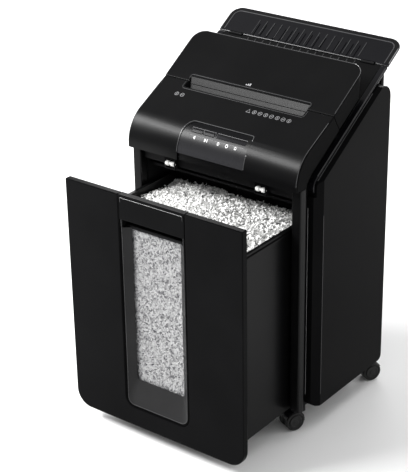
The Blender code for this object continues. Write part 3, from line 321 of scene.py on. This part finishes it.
# name: dark grey, light grey, roughness, grain's scale and depth, specular level
PLASTICS = {
    "satin_black": (grey(0.0022, 0.0002), grey(0.0034, 0.0002), (0.26, 0.34), 2600, 0.00005, 0.085),
    # Near-black and rough: painted shade in gaps and under rims
    "painted_shade_black": (grey(0.0010, 0.0001), grey(0.0020, 0.0001), (0.60, 0.75), 1800, 0.00004, 0.02),
    # Lighter grey for fine beads on edges: painted highlights
    "edge_highlight_grey": (grey(0.045, 0.002), grey(0.065, 0.002), (0.22, 0.30), 2600, 0.00002, 0.5),
    # Lighter grey for the ribs and the side covers' band lines: painted highlight on lit ridges and
    # edges
    "rib_and_band_highlight": (grey(0.022, 0.001), grey(0.032, 0.002), (0.28, 0.36), 2600, 0.00002, 0.4),
    "bezel_grey": (grey(0.0050, 0.0003), grey(0.0130, 0.0006), (0.30, 0.42), 1200, 0.00012, 0.16),
    "panel_black": (grey(0.0026, 0.0002), grey(0.0040, 0.0003), (0.20, 0.28), 2600, 0.00002, 0.020),
    "gloss_black": (grey(0.002, 0.001), grey(0.004, 0.001), (0.22, 0.30), 900, 0.00001, 0.20),
    "inner_black": (grey(0.0030, 0.0004), grey(0.0052, 0.0004), (0.50, 0.65), 1800, 0.00008, 0.08),
    "wheel_black": (grey(0.008), grey(0.014), (0.40, 0.58), 1500, 0.00008, 0.25),
    "white_nylon": (grey(0.74, -0.02), grey(0.84, -0.01), (0.28, 0.38), 1500, 0.00003, 0.5),
    "smoked_lens": (grey(0.003, 0.001), grey(0.006, 0.002), (0.16, 0.24), 700, 0.00001, 0.10),
    "mark_grey": (grey(0.30, 0.01), grey(0.38, 0.01), (0.45, 0.55), 2000, 0.00002, 0.5),
    # Dim grey for generic printed signs, and for fine lines that are painted highlights
    "dim_print_and_highlight": (grey(0.16, 0.005), grey(0.22, 0.005), (0.45, 0.55), 2000, 0.00002, 0.5),
    "white_print": (grey(0.62), grey(0.78), (0.40, 0.55), 2000, 0.00002, 0.5),
}
LOOKS = {name: plastic(name, *values) for name, values in PLASTICS.items()}
EDGE_HIGHLIGHT = LOOKS["edge_highlight_grey"]
INNER = LOOKS["inner_black"]
SHADE_BLACK = LOOKS["painted_shade_black"]
RIB_AND_BAND_HIGHLIGHT = LOOKS["rib_and_band_highlight"]
DIM_PRINT_AND_HIGHLIGHT = LOOKS["dim_print_and_highlight"]
TYRE = LOOKS["wheel_black"]
SHELL = shell_look("head_shell")
PAPER = paper_look("paper_bits", grey(0.86, -0.01), grey(0.97, -0.01), 0.20)
# Darker grey paper for the packed mass: painted shade between the loose bits
PAPER_SHADE = paper_look("paper_painted_shade", grey(0.16), grey(0.40), 0.35)

SLOT_LOOK = {
    "black_shell": LOOKS["satin_black"],
    "gloss_black": LOOKS["gloss_black"],
    "inner_black": INNER,
    "clear_window": clear_look("clear_window"),
    "indicator_lens": LOOKS["smoked_lens"],
    "white_nylon": LOOKS["white_nylon"],
    "cutter_steel": metal(
        "cutter_steel", (0.33, 0.33, 0.34), (0.52, 0.52, 0.53), (0.22, 0.38), (1, 14, 14)
    ),
    "zinc_plate": metal(
        "zinc_plate", (0.50, 0.51, 0.53), (0.66, 0.67, 0.69), (0.30, 0.45), (6, 1, 1)
    ),
    "rubber_tyre": TYRE,
    "paper_bits": PAPER,
    "board_green": board_look("board_green"),
}

# CAD nodes whose look differs from their material slot's
NODE_LOOK = {
    "front_panel": LOOKS["panel_black"],
    "side_cover_left": LOOKS["panel_black"],
    "side_cover_right": LOOKS["panel_black"],
    "handle_bar": LOOKS["panel_black"],
    "head_cover": SHELL,
    "lid": SHELL,
    "window_bezel": LOOKS["bezel_grey"],
    "control_panel": panel_face_painted_highlight("panel_face_painted_highlight"),
}


def smooth_group():
    """A modifier group that shades smooth and keeps edges over 17 degrees sharp."""
    tree = bpy.data.node_groups.new("smooth_by_angle", "GeometryNodeTree")
    for way in ("INPUT", "OUTPUT"):
        tree.interface.new_socket("Geometry", in_out=way, socket_type="NodeSocketGeometry")
    start = tree.nodes.new("NodeGroupInput")
    end = tree.nodes.new("NodeGroupOutput")
    angle = tree.nodes.new("GeometryNodeInputMeshEdgeAngle")
    less = tree.nodes.new("FunctionNodeCompare")
    less.data_type = "FLOAT"
    less.operation = "LESS_THAN"
    less.inputs[1].default_value = math.radians(17)
    tree.links.new(angle.outputs["Unsigned Angle"], less.inputs[0])
    weld = tree.nodes.new("GeometryNodeMergeByDistance")
    weld.inputs["Distance"].default_value = 0.00001
    edges = tree.nodes.new("GeometryNodeSetShadeSmooth")
    edges.domain = "EDGE"
    faces = tree.nodes.new("GeometryNodeSetShadeSmooth")
    faces.domain = "FACE"
    tree.links.new(start.outputs[0], weld.inputs["Geometry"])
    tree.links.new(weld.outputs["Geometry"], edges.inputs["Geometry"])
    tree.links.new(less.outputs[0], edges.inputs["Shade Smooth"])
    tree.links.new(edges.outputs["Geometry"], faces.inputs["Geometry"])
    tree.links.new(faces.outputs["Geometry"], end.inputs[0])
    return tree


SMOOTH = smooth_group()


def smoothed(obj):
    obj.modifiers.new("Smooth", "NODES").node_group = SMOOTH
    obj.modifiers.new("Weighted", "WEIGHTED_NORMAL").keep_sharp = True


def dress_nodes():
    slots = {entry["node"]: entry["material_slot"] for entry in frame["record"]["subparts"]}
    for name, obj in NODES.items():
        look = NODE_LOOK.get(name, SLOT_LOOK[slots[name]])
        if name.startswith("flap_hinge"):
            look = INNER
        obj.data.materials.clear()
        obj.data.materials.append(look)
        smoothed(obj)


# ---------------------------------------------------------------- helpers for pieces


def new_piece(name, bm, look, body):
    mesh = bpy.data.meshes.new(name)
    bm.to_mesh(mesh)
    bm.free()
    mesh.materials.append(look)
    obj = bpy.data.objects.new(name, mesh)
    bpy.context.scene.collection.objects.link(obj)
    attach(obj, body)
    return obj


def tree_of(node):
    mesh = NODES[node].data
    points = [v.co.copy() for v in mesh.vertices]
    mesh.calc_loop_triangles()
    return BVHTree.FromPolygons(points, [tuple(t.vertices) for t in mesh.loop_triangles])


def cast(tree, start, way):
    """The first point that a ray meets, with its normal, or None."""
    place, normal, _, _ = tree.ray_cast(Vector(start), way)
    return (place, normal) if place is not None else None


def cast_all(tree, starts, way):
    """The points met by parallel rays, without those that meet nothing."""
    met = [cast(tree, start, way) for start in starts]
    return [point for point in met if point]


def steps(start, reach, count):
    """Evenly spaced numbers from start to start + reach."""
    return [start + reach * i / (count - 1) for i in range(count)]


def on_deck(x, s, lift):
    """A point s up the deck from the seam and lift above it, with the deck's normal there."""
    slope = DECK_SLOPE if s > 0 else NOSE_SLOPE
    normal = Vector((0, -math.sin(slope), math.cos(slope)))
    along = Vector((0, math.cos(slope), math.sin(slope)))
    return SEAM + Vector((x, 0, 0)) + along * s + normal * lift, normal


def corner_arc(cx, cy, radius, first, last, count=6):
    """Points of an arc between two angles in degrees."""
    angles = [math.radians(first + (last - first) * i / count) for i in range(count + 1)]
    return [(cx + radius * math.cos(a), cy + radius * math.sin(a)) for a in angles]


def prism(bm, points, depth):
    """A closed flat body under an outline of points on a surface, each with its normal."""
    top = [bm.verts.new(place) for place, _ in points]
    low = [bm.verts.new(place - normal * depth) for place, normal in points]
    bm.faces.new(top)
    bm.faces.new(low[::-1])
    for i in range(len(points)):
        j = (i + 1) % len(points)
        bm.faces.new((top[i], low[i], low[j], top[j]))


# A bead's cross-section: sideways in half widths, outwards in heights
BEAD_PROFILE = ((-1.0, -0.6), (-0.9, 0.45), (-0.45, 0.9), (0.45, 0.9), (0.9, 0.45), (1.0, -0.6))


def bead(bm, path, half, height, closed=False):
    """A raised bead along points on a surface. Each point comes with the surface normal there."""
    count = len(path)
    rows = []
    for i, (here, normal) in enumerate(path):
        before = path[(i - 1) % count][0] if closed or i > 0 else here
        after = path[(i + 1) % count][0] if closed or i < count - 1 else here
        side = (after - before).cross(normal).normalized()
        spots = [here + side * u * half + normal * v * height for u, v in BEAD_PROFILE]
        rows.append([bm.verts.new(spot) for spot in spots])
    for i in range(count if closed else count - 1):
        a, b = rows[i], rows[(i + 1) % count]
        for k in range(len(BEAD_PROFILE)):
            j = (k + 1) % len(BEAD_PROFILE)
            bm.faces.new((a[k], a[j], b[j], b[k]))
    if not closed:
        bm.faces.new(rows[0])
        bm.faces.new(rows[-1][::-1])


def bead_piece(name, paths, half, height, look, body, smooth=False, closed=False):
    """A piece made of one bead along each path."""
    bm = bmesh.new()
    for path in paths:
        bead(bm, path, half, height, closed)
    bmesh.ops.recalc_face_normals(bm, faces=bm.faces)
    piece = new_piece(name, bm, look, body)
    if smooth:
        smoothed(piece)


# ---------------------------------------------------------------- shreds in the bin

BITS_ON_TOP = 10500
BITS_AT_WINDOW = 5200


def make_shreds():
    heap = tree_of("paper_shreds")
    lo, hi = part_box("paper_shreds")
    pane_lo, pane_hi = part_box("window_pane")

    def surface(x, y):
        """The heap's top, with its normal. Rays keep off the heap's upright sides."""
        edge = 0.006
        x = min(max(x, lo.x + edge), hi.x - edge)
        y = min(max(y, lo.y + edge), hi.y - edge)
        point, normal = cast(heap, (x, y, 0.60), DOWN)
        return point.z, normal

    def packed_mass():
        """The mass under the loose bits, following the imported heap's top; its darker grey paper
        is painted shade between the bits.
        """
        across, along = 44, 36
        inset, sunk, uneven = 0.0015, 0.0025, 0.0012
        front = pane_hi.y + 0.0045
        bm = bmesh.new()
        rows = []
        for j in range(along + 1):
            y = front + (hi.y - inset - front) * j / along
            row = []
            for i in range(across + 1):
                x = lo.x + inset + (hi.x - lo.x - 2 * inset) * i / across
                z = surface(x, y)[0] - sunk + random.uniform(-uneven, uneven)
                row.append(bm.verts.new((x, y, z)))
            rows.append(row)
        for j in range(along):
            for i in range(across):
                bm.faces.new((rows[j][i], rows[j][i + 1], rows[j + 1][i + 1], rows[j + 1][i]))
        rim = rows[0] + [row[-1] for row in rows[1:]]
        rim += rows[-1][-2::-1] + [row[0] for row in rows[-2:0:-1]]
        base = [bm.verts.new((v.co.x, v.co.y, lo.z)) for v in rim]
        for i in range(len(rim)):
            j = (i + 1) % len(rim)
            bm.faces.new((rim[i], base[i], base[j], rim[j]))
        bm.faces.new(base)
        bmesh.ops.recalc_face_normals(bm, faces=bm.faces)
        mass = new_piece("shred_mass", bm, PAPER_SHADE, "drawer")
        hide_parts("paper_shreds")

    def bit(bm, place, normal, spread, limit_y):
        """One curled scrap of two quads, kept inside the bin and behind limit_y."""
        length = random.uniform(0.0045, 0.0090)
        width = random.uniform(0.0018, 0.0028)
        curl = random.uniform(-1.0, 1.0) * 1.6
        twist = random.uniform(-0.6, 0.6)
        tilt_x = Matrix.Rotation(random.gauss(0, spread), 4, "X")
        tilt_y = Matrix.Rotation(random.gauss(0, spread), 4, "Y")
        spin = Matrix.Rotation(random.uniform(0, math.tau), 4, "Z")
        face = normal.to_track_quat("Z", "Y").to_matrix().to_4x4()
        turn = Matrix.Translation(place) @ face @ (tilt_x @ tilt_y) @ spin
        previous = None
        for t in (-0.5, 0.0, 0.5):
            bend = curl * t
            curled = abs(curl) > 0.05
            x = length * (math.sin(bend) / curl if curled else t)
            z = length * (1 - math.cos(bend)) / curl if curled else 0.0
            lean = twist * t
            pair = []
            for side in (-0.5, 0.5):
                sideways = side * width
                point = turn @ Vector(
                    (x, sideways * math.cos(lean), z + sideways * math.sin(lean))
                )
                point.x = min(max(point.x, lo.x - 0.0003), hi.x + 0.0003)
                point.y = min(max(point.y, limit_y), hi.y + 0.0003)
                pair.append(bm.verts.new(point))
            if previous:
                bm.faces.new((previous[0], previous[1], pair[1], pair[0]))
            previous = pair

    packed_mass()
    inside = lo.y + 0.0004

    bm = bmesh.new()
    for _ in range(BITS_ON_TOP):
        x = random.uniform(lo.x + 0.001, hi.x - 0.001)
        y = random.uniform(lo.y + 0.001, hi.y - 0.001)
        z, normal = surface(x, y)
        place = Vector((x, y, z + random.uniform(-0.0030, 0.0026)))
        bit(bm, place, (normal + UP * 0.5).normalized(), 0.75, inside)
    new_piece("shred_bits_top", bm, PAPER, "drawer")

    bm = bmesh.new()
    for _ in range(BITS_AT_WINDOW):
        x = random.uniform(pane_lo.x - 0.001, pane_hi.x + 0.001)
        z = random.uniform(pane_lo.z - 0.002, pane_hi.z - 0.006)
        y = pane_hi.y + 0.0005 + random.uniform(0, 0.0050)
        bit(bm, Vector((x, y, z)), FORWARD, 0.55, max(pane_hi.y + 0.0004, inside))
    new_piece("shred_bits_window", bm, PAPER, "drawer")


# ---------------------------------------------------------------- printed signs


def oblong(half_w, half_h):
    return [(-half_w, -half_h), (half_w, -half_h), (half_w, half_h), (-half_w, half_h)]


def ring_quads(outer, inner, count):
    """Quads of a flat ring."""
    quads = []
    for i in range(count):
        a, b = math.tau * i / count, math.tau * (i + 1) / count
        corners = ((outer, a), (outer, b), (inner, b), (inner, a))
        quads.append([(r * math.cos(angle), r * math.sin(angle)) for r, angle in corners])
    return quads


def make_deck_marks():
    """Plain rings with a bar inside, and a triangle: the safety notes, kept generic."""
    bm = bmesh.new()

    def laid(x, s, outline):
        prism(bm, [on_deck(x + u, s + v, PRINT_LIFT) for u, v in outline], PRINT_DEPTH)

    left_row, right_row, pitch = -0.030, -0.0285, 0.0109
    spots = [(-0.1185, left_row), (-0.1075, left_row)]
    spots += [(0.0345 + pitch * i, right_row) for i in range(7)]
    for i, (x, s) in enumerate(spots):
        for quad in ring_quads(0.0038, 0.0030, 20):
            laid(x, s, quad)
        laid(x, s, oblong(0.0021, 0.0005) if i % 2 else oblong(0.0007, 0.0020))
    corners = [(-0.0042, -0.0034), (0.0042, -0.0034), (0.0, 0.0040)]
    inner = 0.76
    for k in range(3):
        (a, b), (c, d) = corners[k], corners[(k + 1) % 3]
        quad = [(a, b), (c, d), (inner * c, inner * d), (inner * a, inner * b)]
        laid(0.0236, right_row, quad)
    new_piece("deck_marks", bm, DIM_PRINT_AND_HIGHLIGHT, "cabinet")


def make_lid_mark():
    """Three small bars of rising height above the slot: the sheet count sign."""
    bm = bmesh.new()
    wide, pitch = 0.0022, 0.0034
    for i, tall in enumerate((0.0022, 0.0036, 0.0050)):
        x = -0.0125 + pitch * i
        corners = [(0, 0), (wide, 0), (wide, tall), (0, tall)]
        prism(bm, [on_deck(x + u, 0.0190 + v, PRINT_LIFT) for u, v in corners], PRINT_DEPTH)
    new_piece("lid_mark", bm, LOOKS["mark_grey"], "lid")


def make_panel_marks():
    """Small white signs over the buttons and the indicator strip."""
    surface = tree_of("control_panel")
    row, lift, depth = 0.4782, 0.0002, 0.0004
    bm = bmesh.new()

    def laid(x, outline):
        points = cast_all(surface, [(x + u, BEFORE, row + v) for u, v in outline], BACK)
        if len(points) == len(outline):
            prism(bm, [(place + normal * lift, normal) for place, normal in points], depth)

    triangle = [(-0.0022, 0.0), (0.0018, -0.0024), (0.0018, 0.0024)]
    laid(-0.038, triangle)
    laid(-0.016, [(-u, v) for u, v in reversed(triangle)])
    laid(-0.0125, oblong(0.0005, 0.0022))
    for x, radius in ((0.009, 0.0022), (0.0255, 0.0026), (0.042, 0.0022)):
        for quad in ring_quads(radius, 0.62 * radius, 12):
            laid(x, quad)
    new_piece("panel_marks", bm, LOOKS["white_print"], "cabinet")


# ---------------------------------------------------------------- wheels

# How far the casters are swivelled at rest, in degrees; the left ones are mirrored
CASTER_TURNS = {"front": -24.0, "rear": 150.0}
HUB_SPOKES = 40
# The hub's outline: distance from the axle, and along it from the wheel's middle
HUB_PROFILE = (
    (0.0, 0.0143),
    (0.0036, 0.0143),
    (0.0042, 0.0137),
    (0.0082, 0.0137),
    (0.0088, 0.0143),
    (0.0108, 0.0143),
    (0.0114, 0.0137),
    (0.0114, 0.0110),
    (0.0, 0.0110),
)


def make_wheel_hubs():
    """A raised ring and a centre cap on the outer face of each caster wheel."""
    for end in ("front", "rear"):
        for hand, mirror in HANDS:
            name = "%s_%s" % (end, hand)
            lo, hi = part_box("caster_wheel_" + name)
            centre = (lo + hi) / 2
            turn = math.radians(CASTER_TURNS[end]) * mirror
            axle = Vector((math.cos(turn), math.sin(turn), 0))
            across = Vector((-axle.y, axle.x, 0))
            bm = bmesh.new()
            for side in (-1, 1):
                rings = []
                for radius, along in HUB_PROFILE:
                    ring = []
                    for i in range(HUB_SPOKES):
                        angle = math.tau * i / HUB_SPOKES
                        spoke = across * math.cos(angle) + UP * math.sin(angle)
                        ring.append(bm.verts.new(centre + axle * along * side + spoke * radius))
                    rings.append(ring)
                for a, b in zip(rings, rings[1:]):
                    for i in range(HUB_SPOKES):
                        j = (i + 1) % HUB_SPOKES
                        bm.faces.new((a[i], a[j], b[j], b[i]))
            bmesh.ops.remove_doubles(bm, verts=bm.verts, dist=0.00001)
            bmesh.ops.recalc_face_normals(bm, faces=bm.faces)
            smoothed(new_piece("wheel_hubs_" + name, bm, TYRE, "wheels_" + name))


# ---------------------------------------------------------------- beads and lines: painted highlights and painted shade


def make_slot_frame():
    """The rounded lip round the manual slot: its front half on the cover, its rear on the lid. Its
    dark beads are painted shade of the slot and its outline; its fine lighter lines are painted
    highlights on the edges.
    """

    def front(grow):
        x, r, low, end = 0.1166 + grow, 0.0035 + grow, -0.0138 - grow, -0.0016
        path = [(-x, end)] + corner_arc(-x + r, low + r, r, 180, 270)
        return path + corner_arc(x - r, low + r, r, 270, 360) + [(x, end)]

    def rear(grow):
        x, r, top, end = 0.1166 + grow, 0.0035 + grow, 0.0148 + grow, 0.0065
        path = [(x, end)] + corner_arc(x - r, top - r, r, 0, 90)
        return path + corner_arc(-x + r, top - r, r, 90, 180) + [(-x, end)]

    for name, look, body, path, half, height in (
        ("slot_shade_front", INNER, "cabinet", front(0.0004), 0.0011, 0.0011),
        ("slot_highlight_front", EDGE_HIGHLIGHT, "cabinet", front(0.0021), 0.0004, 0.0007),
        ("slot_highlight_rear", EDGE_HIGHLIGHT, "lid", rear(0.0004), 0.0005, 0.0008),
        ("slot_shade_rear", INNER, "lid", rear(0.0017), 0.0008, 0.0007),
    ):
        points = [on_deck(u, v, 0) for u, v in path]
        bead_piece(name, [points], half, height, look, body, smooth=True)


def make_panel_rim():
    """A fine lighter bead round the control panel as a painted highlight on its edge, and a line
    round each of its three fields.
    """
    x, top, low, big, small = 0.0650, 0.4966, 0.4520, 0.0150, 0.004
    climb = [low, low + 0.010, low + 0.020]
    path = [(-x, z) for z in climb] + corner_arc(-x + big, top - big, big, 180, 90, 8)
    path += [(-0.030 + 0.015 * i, top) for i in range(5)]
    path += corner_arc(x - small, top - small, small, 90, 0, 4)
    path += [(x, z) for z in reversed(climb)]
    points = cast_all(tree_of("head_cover"), [(u, BEFORE, v) for u, v in path], BACK)
    # Painted highlight along the panel's edge
    bead_piece("panel_rim", [points], 0.0007, 0.0006, EDGE_HIGHLIGHT, "cabinet", smooth=True)

    surface = tree_of("control_panel")
    low, high = 0.4807, 0.4900
    loops = []
    for left, right in ((-0.0480, -0.0255), (-0.0250, -0.0025), (0.0010, 0.0580)):
        corners = [(left, low), (left, high), (right, high), (right, low)]
        points = cast_all(surface, [(u, BEFORE, v) for u, v in corners], BACK)
        if len(points) == len(corners):
            loops.append(points)
    bead_piece("panel_lines", loops, 0.0003, 0.0004, DIM_PRINT_AND_HIGHLIGHT, "cabinet", closed=True)


def make_flap_details():
    """Rim, border and ribs of the tray flap, ribs on the tray before it, the hinge line's seal. The
    rim bead is a painted highlight on the flap's rounded edge, the dark border is painted shade
    along it, and the ribs' lighter grey is painted highlight.
    """
    flap = tree_of("tray_flap")
    tray = tree_of("feed_tray")
    lo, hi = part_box("tray_flap")
    flat = math.cos(DECK_SLOPE)

    for name, inset, r, half, height, look in (
        ("flap_rim_highlight", 0.0085, 0.012, 0.0008, 0.0007, EDGE_HIGHLIGHT),
        ("flap_border_shade", 0.0040, 0.0165, 0.0034, 0.0004, INNER),
    ):
        x, rear, front = hi.x - inset, hi.y - inset * flat, lo.y + 0.003
        middle = (lo.y + rear) / 2
        turns = (0, 0.4, 0.8, 1.2, 1.5708)
        path = [(-x, front), (-x, middle)]
        path += [
            (-x + r - r * math.cos(a), rear + flat * r * (math.sin(a) - 1)) for a in turns
        ]
        path += [(-0.08, rear), (0.0, rear), (0.08, rear)]
        path += [(x - r + r * math.sin(a), rear + flat * r * (math.cos(a) - 1)) for a in turns]
        path += [(x, middle), (x, front)]
        points = cast_all(flap, [(u, v, ABOVE) for u, v in path], DOWN)
        bead_piece(name, [points], half, height, look, "flap", smooth=True)

    for name, tree, body, first, last in (
        ("flap_ribs", flap, "flap", lo.y + 0.0040, lo.y + 0.0300),
        ("tray_ribs", tray, "cabinet", lo.y - 0.0180, lo.y - 0.0040),
    ):
        ribs = []
        for i in range(-7, 8):
            x = i * 0.0150 + 0.0030
            ends = cast_all(tree, [(x, first, ABOVE), (x, last, ABOVE)], DOWN)
            if len(ends) == 2:
                ribs.append(ends)
        # The ribs' lighter grey is painted highlight on lit ridges
        bead_piece(name, ribs, 0.0008, 0.0012, RIB_AND_BAND_HIGHLIGHT, body, smooth=True)

    half, long, thick, sunk = 0.150, 0.0095, 0.0012, 0.0040
    along = Vector((0, math.cos(DECK_SLOPE), math.sin(DECK_SLOPE)))
    normal = Vector((0, -math.sin(DECK_SLOPE), math.cos(DECK_SLOPE)))
    bm = bmesh.new()
    rows = []
    for place, _ in cast_all(tray, [(x, lo.y - 0.0030, ABOVE) for x in (-half, half)], DOWN):
        start = place - normal * sunk
        row = [start, start + along * long]
        row += [start + along * long - normal * thick, start - normal * thick]
        rows.append([bm.verts.new(v) for v in row])
    for k in range(4):
        j = (k + 1) % 4
        bm.faces.new((rows[0][k], rows[0][j], rows[1][j], rows[1][k]))
    bm.faces.new(rows[0])
    bm.faces.new(rows[1][::-1])
    bmesh.ops.recalc_face_normals(bm, faces=bm.faces)
    new_piece("flap_seal", bm, INNER, "cabinet")


def make_edge_lines():
    """Fine lighter beads as painted highlights on the edges that catch the light: tray rails and
    side covers.
    """
    for hand, side in HANDS:
        lo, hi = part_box("tray_rail_" + hand)
        x = hi.x - 0.0014 if side > 0 else lo.x + 0.0014
        run = steps(lo.y + 0.012, hi.y - lo.y - 0.016, 13)
        points = cast_all(tree_of("tray_rail_" + hand), [(x, y, ABOVE) for y in run], DOWN)
        bead_piece("rail_highlight_" + hand, [points], 0.0005, 0.0005, EDGE_HIGHLIGHT, "cabinet")

        cover = tree_of("side_cover_" + hand)
        front = [(side * 0.1565, BEFORE, z) for z in steps(0.062, 0.334, 12)]
        band = [(side * ASIDE, -0.0168, z) for z in steps(0.062, 0.320, 12)]
        crest = [(side * 0.1672, y, ABOVE) for y in steps(-0.022, 0.188, 11)]
        for name, starts, way, look, lowest in (
            ("cover_highlight_", front, BACK, DIM_PRINT_AND_HIGHLIGHT, 0.0),
            ("band_highlight_", band, Vector((-side, 0, 0)), RIB_AND_BAND_HIGHLIGHT, 0.0),
            ("crest_highlight_", crest, DOWN, EDGE_HIGHLIGHT, 0.40),
        ):
            points = [p for p in cast_all(cover, starts, way) if p[0].z > lowest]
            bead_piece(name + hand, [points], 0.0005, 0.0004, look, "cabinet")


def make_drawer_lines():
    """Round the panel's cut-out a dark bead as painted shade in the gap and a lighter line as a
    painted highlight, the handle's line as a painted highlight, the bin rim's painted shade.
    """
    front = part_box("front_panel")[0].y
    bezel = tree_of("window_bezel")

    def round_the_cut(inset, top):
        """The cut-out's outline: down the left side, round, and up the right."""
        x, low, r = CUT_HALF - 0.0002 - inset, 0.0588 + inset, 0.0168 - inset
        heights = (top, 0.3600, 0.2600, 0.1600)
        path = [(-x, z) for z in heights]
        path += corner_arc(-x + r, low + r, r, 180, 270, 7)
        path += corner_arc(x - r, low + r, r, 270, 360, 7)
        path += [(x, z) for z in reversed(heights)]
        points = []
        for u, v in path:
            met = cast(bezel, (u, front - 0.05, v), BACK)
            if met is None or met[0].y > front + 0.0040:
                met = (Vector((u, front + 0.0003, v)), FORWARD)
            points.append(met)
        return points

    bar = [(Vector((x, front + 0.0002, 0.4272)), FORWARD) for x in (-0.0600, 0.0, 0.0600)]
    # The first bead is dark, painted shade in the gap; the other two are lighter, painted
    # highlights
    for name, path, half, height, look in (
        ("cutout_gap_shade", round_the_cut(0.0019, 0.4285), 0.0019, 0.0005, SHADE_BLACK),
        ("cutout_highlight_line", round_the_cut(0.0042, 0.4268), 0.0004, 0.0006, EDGE_HIGHLIGHT),
        ("handle_highlight_line", bar, 0.0004, 0.0004, EDGE_HIGHLIGHT),
    ):
        bead_piece(name, [path], half, height, look, "drawer")

    lo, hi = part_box("bin_body")
    for hand, side in HANDS:
        x, out = (hi.x if side > 0 else lo.x), Vector((side, 0, 0))
        run = (lo.y + 0.004, lo.y + 0.08, hi.y - 0.004)
        path = [(Vector((x, y, hi.z - 0.0050)), out) for y in run]
        bead_piece("bin_rim_shade_" + hand, [path], 0.0020, 0.0004, SHADE_BLACK, "drawer")


def make_shroud():
    """Dark fillets that close the sight lines beside and under the finger pocket."""
    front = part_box("front_panel")[0].y
    x, floor = 0.0618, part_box("handle_pocket")[0].z
    low, high, near, far = 0.3700, 0.3930, front + 0.0030, front + 0.0112
    bm = bmesh.new()
    for lo, hi in (
        ((-CUT_HALF, near, low), (-x + 0.0026, far, high)),
        ((x - 0.0002, near, low), (CUT_HALF, far, high)),
        ((-x, front + 0.0118, floor - 0.0035), (x, front + 0.0130, floor + 0.0006)),
    ):
        made = bmesh.ops.create_cube(bm, size=1)["verts"]
        for vert in made:
            for axis in range(3):
                middle = (lo[axis] + hi[axis]) / 2
                vert.co[axis] = middle + vert.co[axis] * (hi[axis] - lo[axis])
        edges = list({edge for vert in made for edge in vert.link_edges})
        bmesh.ops.bevel(bm, geom=edges, offset=0.0002, segments=1, affect="EDGES")
    new_piece("pocket_shroud", bm, INNER, "drawer")


def make_lid_line():
    """A fine lighter bead as a painted highlight along the lid's side and rear edges."""
    x, rear, r = 0.1634, 0.1055, 0.0205
    sides = (0.0060, 0.0450, rear - r)
    path = [(x, s) for s in sides] + corner_arc(x - r, rear - r, r, 8, 90, 7)
    path += [(0.07, rear), (0.0, rear), (-0.07, rear)]
    path += corner_arc(-x + r, rear - r, r, 90, 172, 7) + [(-x, s) for s in reversed(sides)]
    surface = tree_of("lid")
    points = []
    for u, v in path:
        start, normal = on_deck(u, v, 0.02)
        points += cast_all(surface, [start], -normal)
    # Painted highlight along the lid's edges
    bead_piece("lid_line", [points], 0.00045, 0.0005, EDGE_HIGHLIGHT, "lid")


def make_nose_lines():
    """A fine lighter bead as a painted highlight down each end of the nose, and one along each side
    edge of the tray flap.
    """
    cover, flap = tree_of("head_cover"), tree_of("tray_flap")
    lo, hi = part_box("tray_flap")
    for hand, side in HANDS:
        centre = Vector((side * 0.1634, 0.0130, 0.4600))
        points = []
        for degrees in steps(88, -96, 22):
            angle = math.radians(degrees)
            away = Vector((0, -math.cos(angle), math.sin(angle)))
            points += cast_all(cover, [centre + away * 0.3], -away)
        points = [point for point in points if point[0].y < 0.019]
        bead_piece("nose_highlight_" + hand, [points], 0.00045, 0.0005, EDGE_HIGHLIGHT, "cabinet")

        x = side * (hi.x - 0.0008)
        run = steps(lo.y + 0.004, hi.y - lo.y - 0.019, 6)
        points = cast_all(flap, [(x, y, ABOVE) for y in run], DOWN)
        bead_piece("flap_edge_highlight_" + hand, [points], 0.0006, 0.0006, DIM_PRINT_AND_HIGHLIGHT, "flap")


make_camera()
make_stage()
dress_nodes()
make_shreds()
make_deck_marks()
make_panel_marks()
make_wheel_hubs()
make_slot_frame()
make_panel_rim()
make_flap_details()
make_edge_lines()
make_drawer_lines()
make_shroud()
make_lid_line()
make_lid_mark()
make_nose_lines()
